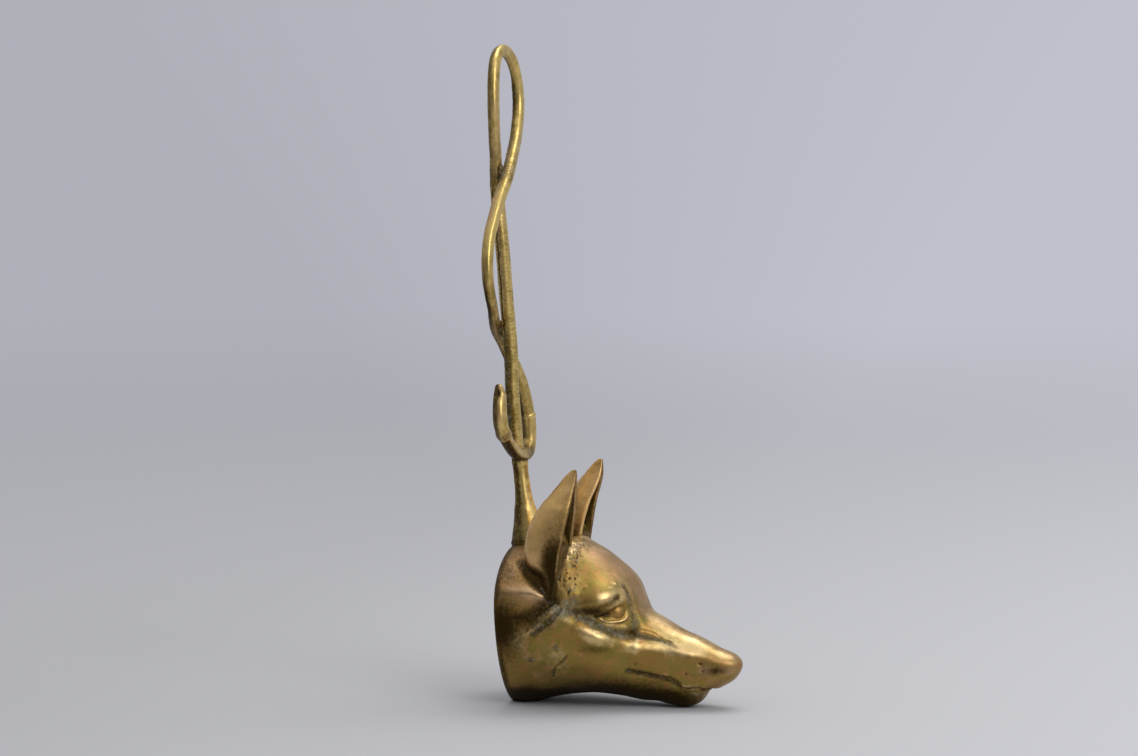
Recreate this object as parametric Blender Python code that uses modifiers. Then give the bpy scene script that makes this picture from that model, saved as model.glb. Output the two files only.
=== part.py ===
"""Antique cast-brass doorstop: a fox's head, hollow behind, with a hunting-whip handle on its crown.

Lengths are in metres. The pieces are laid out with x = 0 on the neck's flat back, x forward to the
nose, y to the fox's left and z up from the floor. The empty that carries them all then centres the
doorstop over its footprint.
"""
import math

import bmesh
import bpy
from mathutils import Vector

# Head
HEAD_LENGTH = 0.1424
NECK_HEIGHT = 0.0945
NECK_HALF_WIDTH = 0.0455
CROWN_RISE = 0.0051
MUZZLE_HALF_WIDTH = 0.0145
NOSE_HEIGHT = 0.0262
JAW_LENGTH = 0.122
STOP_X = 0.083
STOP_HEIGHT = 0.0597
BROW_HALF_WIDTH = 0.031
NECK_FLAT_CUT = 0.0021
CHIN_FLAT_CUT = 0.0009
WALL = 0.005
RIM_WIDTH = 0.0075
RIM_ROUND = 0.003

# Radius and height of the skin's swellings
BROW_SWELL = (0.0100, 0.0030)
CHEEKBONE_SWELL = (0.0110, 0.0022)
RUFF_SWELL = (0.0130, 0.0018)
SWELL_LEAN = 0.010

# Radius and height of the forms that the modeller laid on each side of the face
BROW_PAD = (0.0070, 0.0030)
UNDER_BROW = (0.0036, -0.0016)
EYE_SWELLING = (0.0042, 0.0018)
TEAR_HOLLOW = (0.0044, -0.0019)
CREASE = (0.0032, -0.0018)
CHEEK_RIDGE = (0.0060, 0.0018)
CHEEK_HOLLOW = (0.0065, -0.0010)
BRIDGE_EDGE = (0.0050, 0.0010)
SIDE_GROOVE = (0.0030, -0.0013)
MUZZLE_RIDGE = (0.0038, 0.0013)
MOUTH = (0.0026, -0.0011)
JAW_SIDE = (0.0060, -0.0012)
RUFF_RIDGE = (0.0060, 0.0020)
RUFF_HOLLOW = (0.0080, -0.0019)
EAR_VALLEY = (0.0045, -0.0024)
EAR_BAND = (0.0050, 0.0013)
FOLD_RIDGE = (0.0030, 0.0015)
FOLD_GROOVE = (0.0026, -0.0013)

# Ears
EAR_RISE = 0.050
EAR_INSET = 0.0155
EAR_WIDTH = 0.028
EAR_DEPTH = 0.0235
EAR_BACK_X = 0.0170
EAR_WALL = 0.0032
LEFT_EAR_SLIMMER = 0.0038
EAR_FILL_TOP = 0.0135
EAR_FILL_DROP = 0.012

# Handle
STEM_FOOT_DEPTH = 0.022
STEM_FOOT_WIDTH = 0.0172
STEM_NECK_DIAMETER = 0.0092
STEM_X = 0.0098
STEM_LENGTH = 0.055
STEM_LEAN = 0.0068
STEM_SIDE_STEP = 0.0020
STOCK_DIAMETER = 0.0088
LASH_DIAMETER = 0.0072
CROOK_DIAMETER = 0.0080
BUTT_DIAMETER = 0.0088

# Fixing inside the head
STUD_DIAMETER = 0.006
STUD_SETBACK = 0.0012
STUD_GRIP = 0.017
PAD_DIAMETER = 0.016
PAD_THICKNESS = 0.0075
WASHER_DIAMETER = 0.014
WASHER_THICKNESS = 0.0016
NUT_ACROSS_FLATS = 0.010
NUT_HEIGHT = 0.005
STUD_TAIL = 0.0028

# Fits
SEAT_GAP = 0.0003
BORE_CLEARANCE = 0.0003

# Counts of facets
HEAD_STEPS_ALONG = 3
HEAD_STEPS_AROUND = 28
# How much closer the head's rows lie on the face than elsewhere, and where they lie closest
ROW_CROWDING = 0.06
ROW_CROWDED_AT = 0.36
ROUND_STEPS = 28
TUBE_STEP = 0.0085

# Straight length at the end of each rod
SQUARE_END = 0.001

BRASS_WORN = (0.50, 0.35, 0.13)
BRASS_DULL = (0.38, 0.27, 0.11)
BRASS_DARK = (0.24, 0.16, 0.07)

# The whip's rods follow one route: up the stock, round the hand loop, down the lash and round the crook.
# Its points are given with the middle of the stem's top at the route's datum, and move with it.
ROUTE_DATUM = (0.0030, 0.0020, 0.1495)
STOCK_ROUTE = [
    (0.0026, -0.0040, 0.1535), (0.0021, -0.0051, 0.1650), (0.0007, -0.0065, 0.1890),
    (0.0002, -0.0068, 0.2070), (-0.0006, -0.0080, 0.2250), (-0.0021, -0.0088, 0.2430),
    (-0.0036, -0.0090, 0.2640), (-0.0048, -0.0098, 0.2800), (-0.0070, -0.0086, 0.2980),
    (-0.0089, -0.0058, 0.3105),
]
LASH_ROUTE = [
    (-0.0098, -0.0044, 0.3200), (-0.0096, -0.0060, 0.3300), (-0.0094, -0.0090, 0.3420),
    (-0.0093, -0.0106, 0.3540), (-0.0096, -0.0104, 0.3650), (-0.0101, -0.0080, 0.3765),
    (-0.0107, -0.0030, 0.3860), (-0.0110, 0.0055, 0.3912), (-0.0110, 0.0155, 0.3924),
    (-0.0109, 0.0255, 0.3896), (-0.0106, 0.0345, 0.3840), (-0.0102, 0.0408, 0.3757),
    (-0.0097, 0.0428, 0.3665), (-0.0090, 0.0416, 0.3570), (-0.0082, 0.0368, 0.3475),
    (-0.0068, 0.0275, 0.3378), (-0.0042, 0.0118, 0.3294), (-0.0022, -0.0025, 0.3215),
    (-0.0018, -0.0110, 0.3150), (-0.0021, -0.0180, 0.3090), (-0.0028, -0.0250, 0.3015),
    (-0.0037, -0.0310, 0.2925), (-0.0044, -0.0372, 0.2825), (-0.0041, -0.0422, 0.2710),
    (-0.0035, -0.0436, 0.2600), (-0.0030, -0.0408, 0.2500), (-0.0036, -0.0330, 0.2405),
    (-0.0064, -0.0205, 0.2322), (-0.0093, -0.0065, 0.2252), (-0.0088, 0.0060, 0.2172),
    (-0.0062, 0.0130, 0.2080), (-0.0030, 0.0165, 0.1990), (-0.0006, 0.0200, 0.1900),
    (0.0010, 0.0230, 0.1810), (0.0018, 0.0256, 0.1712),
]
CROOK_ROUTE = [
    (0.0022, 0.0266, 0.1620), (0.0026, 0.0246, 0.1532), (0.0030, 0.0175, 0.1484),
    (0.0031, 0.0050, 0.1482), (0.0030, -0.0090, 0.1520), (0.0028, -0.0200, 0.1576),
    (0.0025, -0.0288, 0.1636),
]
BUTT_ROUTE = [
    (0.0021, -0.0340, 0.1690), (0.0017, -0.0358, 0.1752), (0.0012, -0.0348, 0.1825),
    (0.0007, -0.0328, 0.1885), (0.0004, -0.0338, 0.1940),
]

STEM_TOP = (STEM_X - STEM_LEAN, STEM_SIDE_STEP, NECK_HEIGHT + STEM_LENGTH)
WHIP_SHIFT = [top - datum for top, datum in zip(STEM_TOP, ROUTE_DATUM)]
WHIP_ROUTE = [
    tuple(value + shift for value, shift in zip(point, WHIP_SHIFT))
    for point in STOCK_ROUTE + LASH_ROUTE + CROOK_ROUTE + BUTT_ROUTE
]

STUD_X = STEM_X - STUD_SETBACK
STUD_TOP = NECK_HEIGHT + STUD_GRIP
PAD_FACE = NECK_HEIGHT - PAD_THICKNESS
WASHER_TOP = PAD_FACE - SEAT_GAP
NUT_TOP = WASHER_TOP - WASHER_THICKNESS - SEAT_GAP
STUD_FOOT = NUT_TOP - NUT_HEIGHT - STUD_TAIL
HANDLE_BACK = min(point[0] for point in WHIP_ROUTE) - LASH_DIAMETER / 2
FOOTPRINT_CENTRE = (HEAD_LENGTH + HANDLE_BACK) / 2


def new_collection(name):
    """A collection linked to the scene."""
    collection = bpy.data.collections.new(name)
    bpy.context.scene.collection.children.link(collection)
    return collection


def brass(name, colour, roughness):
    """Aged brass in one tone."""
    material = bpy.data.materials.new(name)
    material.use_nodes = True
    shader = material.node_tree.nodes["Principled BSDF"]
    shader.inputs["Base Color"].default_value = (*colour, 1.0)
    shader.inputs["Metallic"].default_value = 1.0
    shader.inputs["Roughness"].default_value = roughness
    return material


def place(name, data, collection, material=None):
    """An object in its collection, carried by the doorstop's frame."""
    thing = bpy.data.objects.new(name, data)
    collection.objects.link(thing)
    thing.parent = bpy.data.objects["doorstop_frame"]
    if material:
        data.materials.append(material)
    return thing


def hide_cutter(thing):
    """Marks a shape that only cuts others."""
    thing.hide_render = True
    thing.display_type = 'WIRE'
    return thing


def finish_mesh(bm, name, smooth_angle=50.0):
    """A smooth-shaded mesh from the working mesh."""
    mesh = bpy.data.meshes.new(name)
    bm.to_mesh(mesh)
    bm.free()
    mesh.shade_smooth()
    mesh.set_sharp_from_angle(angle=math.radians(smooth_angle))
    return mesh


def boolean(thing, cutter, operation='DIFFERENCE'):
    """A live cut or union."""
    modifier = thing.modifiers.new(f"{operation.lower()} {cutter.name}", 'BOOLEAN')
    modifier.object = cutter
    modifier.operation = operation


def through(points, t):
    """The smooth curve through the points, at t counted in points."""
    last = len(points) - 1
    i = min(int(t), last - 1)
    f = t - i
    p0, p1 = points[max(i - 1, 0)], points[i]
    p2, p3 = points[i + 1], points[min(i + 2, last)]
    values = []
    for a, b, c, d in zip(p0, p1, p2, p3):
        bend = (2 * a - 5 * b + 4 * c - d) * f ** 2 + (3 * b - a - 3 * c + d) * f ** 3
        values.append(0.5 * (2 * b + (c - a) * f + bend))
    return values


def head_ribs():
    """Sections of the head from neck to nose.

    Each holds the crown's x and z, the side's x, y and z, the foot's x and z, and how square the
    section is above and below its side. Steps between sections count in units of the head's length.
    """
    unit = HEAD_LENGTH / 142.4
    neck, crown = NECK_HEIGHT, NECK_HEIGHT + CROWN_RISE
    wide, brow, snout = NECK_HALF_WIDTH, BROW_HALF_WIDTH, MUZZLE_HALF_WIDTH
    stop, stop_z = STOP_X, STOP_HEIGHT
    jaw, nose, nose_z = JAW_LENGTH, HEAD_LENGTH, NOSE_HEIGHT
    foot, chin = -NECK_FLAT_CUT, -CHIN_FLAT_CUT
    neck_ribs = [
        (RIM_ROUND, neck + 0.8 * unit, RIM_ROUND, wide, neck * 0.624, RIM_ROUND, foot, 2.3, 1.70),
        (stop * 0.145, neck + 2.2 * unit, stop * 0.145, wide + 0.6 * unit, neck * 0.608,
         stop * 0.145, foot, 2.3, 1.75),
        (stop * 0.301, crown - 0.8 * unit, stop * 0.301, wide - 0.2 * unit, neck * 0.577,
         stop * 0.277, 1.8 * unit, 2.3, 1.85),
        (stop * 0.482, crown - 0.3 * unit, stop * 0.470, wide - 1.8 * unit, neck * 0.540,
         stop * 0.446, 5.0 * unit, 2.3, 1.95),
        (stop * 0.641, crown - 4.7 * unit, stop * 0.614, wide - 6.0 * unit, neck * 0.497,
         stop * 0.614, 6.4 * unit, 2.2, 2.0),
    ]
    brow_ribs = [
        (stop * 0.783, crown - 12.2 * unit, stop * 0.747, brow + 4.0 * unit, neck * 0.466,
         stop * 0.759, 6.2 * unit, 2.2, 2.1),
        (stop * 0.910, stop_z + 18.9 * unit, stop * 0.855, brow - 1.5 * unit, neck * 0.439,
         stop * 0.892, 4.8 * unit, 2.2, 2.1),
        (stop - 1.9 * unit, stop_z + 8.0 * unit, stop - 4 * unit, brow - 6.8 * unit, neck * 0.397,
         stop, 3.0 * unit, 2.2, 2.2),
        (stop + 1.4 * unit, stop_z - 1.0 * unit, stop + 4 * unit, brow - 10.2 * unit, neck * 0.349,
         stop + 7 * unit, 1.9 * unit, 2.2, 2.2),
    ]
    muzzle_ribs = [
        (stop + 11.5 * unit, stop_z - 6.8 * unit, stop + 12 * unit, snout + 4.2 * unit,
         nose_z + 2.8 * unit, stop + 14 * unit, 0.4 * unit, 2.3, 2.3),
        (stop + 23.4 * unit, stop_z - 13.5 * unit, stop + 22 * unit, snout + 2.4 * unit,
         nose_z - 0.7 * unit, stop + 21 * unit, chin, 2.4, 2.4),
        (stop + 32.8 * unit, stop_z - 17.0 * unit, stop + 30 * unit, snout + 1.0 * unit,
         nose_z - 2.7 * unit, stop + 28 * unit, chin, 2.4, 2.4),
        (jaw + 0.7 * unit, nose_z + 13.0 * unit, jaw - 1 * unit, snout - 0.3 * unit,
         nose_z - 3.7 * unit, jaw - 3.5 * unit, 3.0 * unit, 2.4, 2.4),
        (jaw + 7.0 * unit, nose_z + 9.8 * unit, jaw + 5 * unit, snout - 1.6 * unit,
         nose_z - 3.7 * unit, jaw + 0.2 * unit, 8.8 * unit, 2.3, 2.3),
    ]
    nose_ribs = [
        (nose - 7.2 * unit, nose_z + 7.7 * unit, nose - 9.4 * unit, snout - 3.2 * unit,
         nose_z - 3.0 * unit, jaw + 7.8 * unit, 13.0 * unit, 2.2, 2.2),
        (nose - 3.2 * unit, nose_z + 5.6 * unit, nose - 4.6 * unit, snout - 5.5 * unit,
         nose_z - 2.0 * unit, nose - 6.4 * unit, 16.5 * unit, 2.1, 2.1),
        (nose - 1.0 * unit, nose_z + 3.2 * unit, nose - 1.5 * unit, snout - 9.0 * unit,
         nose_z - 1.0 * unit, nose - 2.2 * unit, 21.0 * unit, 2.0, 2.0),
        (nose, nose_z, nose, 0.0, nose_z, nose, nose_z, 2.0, 2.0),
    ]
    return neck_ribs + brow_ribs + muzzle_ribs + nose_ribs


def swells():
    """Swellings of the skin on each side: centre, radius and height of the brow, the cheekbone and the ruff."""
    neck, wide, brow = NECK_HEIGHT, NECK_HALF_WIDTH, BROW_HALF_WIDTH
    return [
        ((STOP_X * 0.819, brow * 0.855, neck * 0.741), *BROW_SWELL),
        ((STOP_X * 0.771, wide * 0.791, neck * 0.466), *CHEEKBONE_SWELL),
        ((STOP_X * 0.072, wide * 0.923, neck * 0.730), *RUFF_SWELL),
    ]


def face_forms():
    """The modeller's forms on each side of the face: a line of x and z seen from the side, radius and height."""
    along, up = STOP_X / 83, NECK_HEIGHT / 94.5
    lines = [
        (BROW_PAD, [(54.0, 70.5), (61.0, 72.0), (68.0, 73.0)]),
        (UNDER_BROW, [(48.0, 60.5), (56.0, 62.5), (64.0, 65.0), (71.0, 68.0)]),
        (EYE_SWELLING, [(69.5, 58.5), (72.5, 57.0)]),
        (TEAR_HOLLOW, [(45.0, 61.5), (55.0, 56.0), (63.4, 51.0), (71.0, 47.5)]),
        (CREASE, [(74.4, 73.6), (77.3, 64.8), (79.5, 55.0), (80.2, 47.5)]),
        (CHEEK_RIDGE, [(43.0, 51.5), (56.8, 46.0), (70.0, 41.0), (76.4, 38.9)]),
        (CHEEK_HOLLOW, [(40.0, 41.5), (50.0, 37.5), (60.0, 34.5), (70.0, 31.5)]),
        (BRIDGE_EDGE, [(84.0, 51.0), (92.0, 48.6), (102.0, 44.0)]),
        (SIDE_GROOVE, [(87.0, 44.3), (93.0, 42.3), (98.0, 41.0)]),
        (MUZZLE_RIDGE, [(81.0, 39.2), (92.8, 38.8), (102.7, 37.6), (112.0, 34.6)]),
        (MOUTH, [(77.6, 23.8), (91.2, 20.7), (101.8, 18.4), (108.7, 12.3), (120.0, 12.3)]),
        (JAW_SIDE, [(90.0, 14.0), (105.0, 9.5), (119.0, 6.0)]),
        (RUFF_RIDGE, [(2.0, 70.5), (12.0, 71.5), (22.0, 71.2), (30.0, 69.8)]),
        (RUFF_HOLLOW, [(3.0, 56.0), (14.0, 55.5), (24.0, 58.0), (31.5, 63.0)]),
        (EAR_VALLEY, [(13.5, 88.3), (23.6, 80.6), (29.1, 76.3), (33.2, 71.2), (36.5, 66.0)]),
        (EAR_BAND, [(41.0, 94.0), (42.0, 89.0), (43.5, 82.0), (45.5, 75.0)]),
        (FOLD_RIDGE, [(24.6, 49.6), (29.0, 55.8), (33.1, 60.0), (37.1, 64.2)]),
        (FOLD_GROOVE, [(26.0, 46.0), (31.0, 52.0), (36.0, 56.5), (40.7, 61.3)]),
    ]
    return [([Vector((x * along, z * up)) for x, z in line], *size) for size, line in lines]


def row_shares():
    """Shares of the way from crown to jaw, closer together on the face."""
    shares = []
    for i in range(HEAD_STEPS_AROUND + 1):
        u = i / HEAD_STEPS_AROUND
        sway = math.sin(2 * math.pi * (u - ROW_CROWDED_AT)) + math.sin(2 * math.pi * ROW_CROWDED_AT)
        shares.append(round(u - ROW_CROWDING * sway, 9))
    return shares


def rib_point(rib, v, inset=0.0):
    """A point on a rib, with v from 0 on the crown to 1 under the jaw, and its skin drawn in by inset."""
    top_x, top_z, side_x, side_y, side_z, low_x, low_z, square_above, square_below = rib
    top = Vector((top_x, 0, top_z - inset))
    low = Vector((low_x, 0, low_z + inset))
    side = Vector((side_x, max(side_y - inset, 0.0), side_z))
    middle = Vector(((top_x + low_x) / 2, 0, side_z))
    angle = math.pi * (0.5 - v)
    square = square_above if angle > 0 else square_below
    rise = abs(math.sin(angle)) ** (2 / square)
    reach = max(math.cos(angle), 0.0) ** (2 / square)
    end = top if angle > 0 else low
    point = middle + (end - middle) * rise + (side - middle) * reach
    if v in (0.0, 1.0):
        point.y = 0.0
    return point


def swell(point, centre, radius, height):
    """How far the skin is raised at a point near a centre, away from the head's axis."""
    away = point - Vector((centre[0] - SWELL_LEAN, 0, NECK_HEIGHT * 0.444))
    fall = (point - Vector(centre)).length / radius
    return away.normalized() * height * math.exp(-fall * fall)


def form_height(point, forms):
    """How far the modeller's forms raise the skin at a point; they fade out towards the middle of the face."""
    spot = Vector((point.x, point.z))
    height = 0.0
    for line, radius, rise in forms:
        gap = min(run_distance(spot, a, b) for a, b in zip(line, line[1:]))
        height += rise * math.exp(-(gap / radius) ** 2)
    return height * min(point.y / (BROW_HALF_WIDTH * 0.45), 1.0) ** 2


def run_distance(spot, start, end):
    """Distance from a spot to a straight run, in side view."""
    way = end - start
    share = min(max((spot - start).dot(way) / way.length_squared, 0.0), 1.0)
    return (spot - start - way * share).length


def skin_point(rib, v, forms, inset=0.0):
    """A point of the outer skin with its swellings and forms, and its foot flattened."""
    point = rib_point(rib, v, inset)
    point += sum((swell(point, *each) for each in swells()), Vector())
    away = Vector((0, point.y, point.z - rib[4]))
    if away.length > 0:
        point += away.normalized() * form_height(point, forms)
    point.z = max(point.z, 0.0)
    if v in (0.0, 1.0):
        point.y = 0.0
    return point


def wrapped_half(columns, name):
    """Half a closed skin, open at y = 0, from columns of points that run from the crown to the jaw."""
    bm = bmesh.new()
    along, around = len(columns) - 1, len(columns[0]) - 1
    bmesh.ops.create_grid(bm, x_segments=along, y_segments=around, size=1.0)
    for vert in bm.verts:
        i = round((vert.co.x + 1) / 2 * along)
        j = round((vert.co.y + 1) / 2 * around)
        vert.co = columns[i][j]
    bmesh.ops.remove_doubles(bm, verts=bm.verts, dist=1e-6)
    return finish_mesh(bm, name)


def outer_columns():
    """The outer skin's columns from the rim's rounding to the nose."""
    ribs, forms, steps = head_ribs(), face_forms(), row_shares()
    columns = []
    for k in range((len(ribs) - 1) * HEAD_STEPS_ALONG + 1):
        rib = through(ribs, k / HEAD_STEPS_ALONG)
        columns.append([skin_point(rib, v, forms) for v in steps])
    columns[-1] = [Vector((HEAD_LENGTH, 0, NOSE_HEIGHT)) for _ in steps]
    return columns


def rim_columns():
    """The quarter round from the flat back to the outer skin."""
    rib, forms, steps = head_ribs()[0], face_forms(), row_shares()
    columns = []
    for degrees in (0, 30, 60):
        turn = math.radians(degrees)
        column = []
        for v in steps:
            point = skin_point(rib, v, forms, RIM_ROUND * (1 - math.sin(turn)))
            point.x = RIM_ROUND * (1 - math.cos(turn))
            column.append(point)
        columns.append(column)
    return columns


def hollow_columns():
    """The hollow's columns from its blind front end back to the rim."""
    ribs, steps = head_ribs(), row_shares()
    blind = Vector((STOP_X * 0.988, 0, STOP_HEIGHT * 0.603))
    columns = [[blind.copy() for _ in steps]]
    depths = [(7.2, WALL * 1.9), (6.9, WALL * 1.36), (6.3, WALL * 1.12)]
    depths += [(k / 2, WALL) for k in range(11, 2, -1)]
    for t, inset in depths:
        rib = through(ribs, t)
        columns.append([rib_point(rib, v, inset) for v in steps])
    for x, inset in ((RIM_WIDTH * 0.93, (WALL + RIM_WIDTH) / 2), (RIM_WIDTH * 0.47, RIM_WIDTH)):
        column = [rib_point(ribs[0], v, inset) for v in steps]
        columns.append([Vector((x, p.y, p.z)) for p in column])
    columns.append([Vector((0, p.y, p.z)) for p in columns[-1]])
    return columns


def mirrored(thing):
    """The other half."""
    mirror = thing.modifiers.new("other half", 'MIRROR')
    mirror.use_axis = (False, True, False)
    mirror.merge_threshold = 0.0001


def cylinder(name, radius, bottom, top, x, collection, segments=ROUND_STEPS):
    """An upright cylinder."""
    bm = bmesh.new()
    bmesh.ops.create_cone(bm, cap_ends=True, segments=segments, radius1=radius, radius2=radius,
                          depth=top - bottom)
    thing = place(name, finish_mesh(bm, name), collection)
    thing.location = (x, 0, (bottom + top) / 2)
    return thing


def build_head(parts, cutters, material):
    """The hollow head, open at the neck, with a pad under the crown and a hole for the stud."""
    columns = hollow_columns() + rim_columns() + outer_columns()
    head = place("fox_head", wrapped_half(columns, "fox_head"), parts, material)
    mirrored(head)
    pad_top = NECK_HEIGHT - WALL / 2
    pad = hide_cutter(cylinder("pad_form", PAD_DIAMETER / 2, PAD_FACE, pad_top, STUD_X, cutters))
    boolean(head, pad, 'UNION')
    hole_radius = STUD_DIAMETER / 2 + BORE_CLEARANCE
    hole = cylinder("stud_hole", hole_radius, STUD_FOOT, STUD_TOP + SEAT_GAP, STUD_X, cutters)
    boolean(head, hide_cutter(hole))
    return head


def build_head_form(cutters):
    """The head's outer form without its hollow, a seat gap larger all round, for cutting what stands on it."""
    steps = HEAD_STEPS_AROUND + 1
    centre = Vector((0, 0, NECK_HEIGHT / 2))
    columns = [[centre.copy() for _ in range(steps)]] + rim_columns() + outer_columns()
    mesh = wrapped_half(columns, "head_form")
    form = place("head_form", mesh, cutters)
    shifts = [vertex.normal * SEAT_GAP for vertex in mesh.vertices]
    for vertex, shift in zip(mesh.vertices, shifts):
        on_plane = abs(vertex.co.y) < 1e-7
        vertex.co = vertex.co + shift
        if on_plane:
            vertex.co.y = 0.0
    mirrored(form)
    return hide_cutter(form)


def loft(name, rings):
    """A closed skin over rings of equal count, with flat ends."""
    bm = bmesh.new()
    loops = [[bm.verts.new(point) for point in ring] for ring in rings]
    count = len(rings[0])
    for low, high in zip(loops, loops[1:]):
        for i in range(count):
            j = (i + 1) % count
            bm.faces.new((low[i], low[j], high[j], high[i]))
    bm.faces.new(reversed(loops[0]))
    bm.faces.new(loops[-1])
    bmesh.ops.recalc_face_normals(bm, faces=bm.faces)
    return finish_mesh(bm, name)


def ear_stations(slimmer):
    """Ear sections from root to tip: height, back x, edge x, width and how far out the middle lies."""
    unit = EAR_DEPTH / 23.5
    back, edge, wide = EAR_BACK_X, EAR_BACK_X + EAR_DEPTH, EAR_WIDTH
    root, rise = NECK_HEIGHT, EAR_RISE
    return [
        (root * 0.635, back + 15.0 * unit, edge - 8.0 * unit, wide * 0.800, -2.5 * unit),
        (root * 0.709, back + 11.8 * unit, edge - 5.0 * unit, wide * 0.860, -1.2 * unit),
        (root * 0.836, back + 4.0 * unit, edge - 1.8 * unit - slimmer, wide * 0.964, 0.5 * unit),
        (root * 0.963, back, edge - 1.0 * unit - slimmer, wide, 0.0),
        (root + rise * 0.11, back + 0.4 * unit, edge + 0.8 * unit - slimmer, wide * 0.964, 0.0),
        (root + rise * 0.27, back + 2.0 * unit, edge + 2.2 * unit - slimmer, wide * 0.911, 0.0),
        (root + rise * 0.41, back + 4.8 * unit, edge + 3.4 * unit - slimmer * 0.9, wide * 0.804, 0.0),
        (root + rise * 0.53, back + 8.6 * unit, edge + 4.4 * unit - slimmer * 0.7, wide * 0.679, 0.0),
        (root + rise * 0.60, back + 11.2 * unit, edge + 5.0 * unit - slimmer * 0.5, wide * 0.579, 0.0),
        (root + rise * 0.67, back + 14.5 * unit, edge + 5.5 * unit - slimmer * 0.3, wide * 0.479, 0.0),
        (root + rise * 0.74, back + 17.3 * unit, edge + 6.0 * unit - slimmer * 0.1, wide * 0.379, 0.0),
        (root + rise * 0.81, back + 20.0 * unit, edge + 6.4 * unit, wide * 0.279, 0.0),
        (root + rise * 0.88, back + 22.4 * unit, edge + 6.7 * unit, wide * 0.186, 0.0),
        (root + rise * 0.95, back + 25.2 * unit, edge + 6.8 * unit, wide * 0.100, 0.0),
        (root + rise, back + 28.0 * unit, edge + 6.6 * unit, wide * 0.050, 0.0),
    ]


def ear_ring(station):
    """One section of an ear: round the back from edge to edge, then back along the cup, which is filled below."""
    height, back, edge, width, outward = station
    depth = edge - back
    wall = min(EAR_WALL, width * 0.3)
    inner_back = back + min(wall * 1.4, depth * 0.55)
    open_share = (height - NECK_HEIGHT - EAR_FILL_TOP + EAR_FILL_DROP) / EAR_FILL_DROP
    filled = 0.92 * (1 - min(max(open_share, 0.0), 1.0))
    inner_back += (edge - inner_back) * filled
    inner_half = width / 2 - wall
    middle = NECK_HALF_WIDTH - EAR_INSET + outward
    ring = []
    for k in range(15):
        angle = math.radians(-90 + 180 * k / 14)
        reach = math.cos(angle)
        ring.append((edge - depth * reach, middle + width / 2 * math.sin(angle), height))
    for k in range(11):
        angle = math.radians(90 - 180 * k / 10)
        reach = math.cos(angle)
        ring.append((edge - (edge - inner_back) * reach, middle + inner_half * math.sin(angle), height))
    return ring


def build_ear(name, side, slimmer, parts, head_form, material):
    """One cupped ear, its root cut to the head."""
    rings = [[(x, side * y, z) for x, y, z in ear_ring(station)] for station in ear_stations(slimmer)]
    ear = place(name, loft(name, rings), parts, material)
    boolean(ear, head_form)
    return ear


def stem_rings():
    """Oval sections of the stem, from the foot on the crown to the crook.

    Each station holds the shares of the stem's length, lean and side step that are reached there,
    and the shares of the foot's extra depth and width that are left.
    """
    foot_x, foot_y, thin = STEM_FOOT_DEPTH / 2, STEM_FOOT_WIDTH / 2, STEM_NECK_DIAMETER / 2
    stations = [
        (0.0, 0.0, 0.0, 1.0, 1.0),
        (0.091, 0.088, 0.0, 0.875, 0.85),
        (0.200, 0.191, 0.0, 0.656, 0.65),
        (0.300, 0.294, 0.05, 0.469, 0.45),
        (0.391, 0.397, 0.15, 0.344, 0.30),
        (0.473, 0.500, 0.30, 0.188, 0.15),
        (0.600, 0.647, 0.50, 0.063, 0.05),
        (0.727, 0.794, 0.70, 0.0, 0.0),
        (0.855, 0.926, 0.90, 0.0, 0.0),
        (1.0, 1.0, 1.0, 0.031, 0.05),
    ]
    rings = []
    for climb, lean, step, left_x, left_y in stations:
        x, y, height = STEM_X - STEM_LEAN * lean, STEM_SIDE_STEP * step, NECK_HEIGHT + STEM_LENGTH * climb
        reach_x, reach_y = thin + (foot_x - thin) * left_x, thin + (foot_y - thin) * left_y
        turns = [2 * math.pi * k / ROUND_STEPS for k in range(ROUND_STEPS)]
        rings.append([(x + reach_x * math.cos(a), y + reach_y * math.sin(a), height) for a in turns])
    return rings


def build_stem(parts, cutters, head_form, crook_form, material):
    """The stem: cut to the crown below and to the crook above, with a blind bore for the stud."""
    stem = place("handle_stem", loft("handle_stem", stem_rings()), parts, material)
    boolean(stem, head_form)
    boolean(stem, crook_form)
    radius = STUD_DIAMETER / 2 + BORE_CLEARANCE
    bore = cylinder("stem_bore", radius, PAD_FACE, STUD_TOP + SEAT_GAP, STUD_X, cutters)
    boolean(stem, hide_cutter(bore))
    return stem


def route_tangent(index):
    """The whip's route's direction at one of its own points."""
    behind, ahead = max(index - 0.02, 0.0), min(index + 0.02, len(WHIP_ROUTE) - 1.02)
    return (Vector(through(WHIP_ROUTE, ahead)) - Vector(through(WHIP_ROUTE, behind))).normalized()


def route_between(first, last, trim):
    """Evenly spaced points of the whip's route between two of its own points, with square, straight ends.

    The start is trimmed, so that a piece meets the end of the one before it with a gap.
    """
    fine = 24
    dense = [Vector(through(WHIP_ROUTE, k / fine)) for k in range(first * fine, last * fine + 1)]
    lengths = [0.0]
    for a, b in zip(dense, dense[1:]):
        lengths.append(lengths[-1] + (b - a).length)
    count = max(round(lengths[-1] / TUBE_STEP), 2)
    start, end = dense[0], dense[-1]
    start_way, end_way = route_tangent(first), route_tangent(last)
    points = [start + start_way * trim, start + start_way * (trim + SQUARE_END)]
    k = 0
    for i in range(1, count):
        target = lengths[-1] * i / count
        while lengths[k + 1] < target:
            k += 1
        share = (target - lengths[k]) / (lengths[k + 1] - lengths[k])
        points.append(dense[k].lerp(dense[k + 1], share))
    return points + [end - end_way * SQUARE_END, end]


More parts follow.
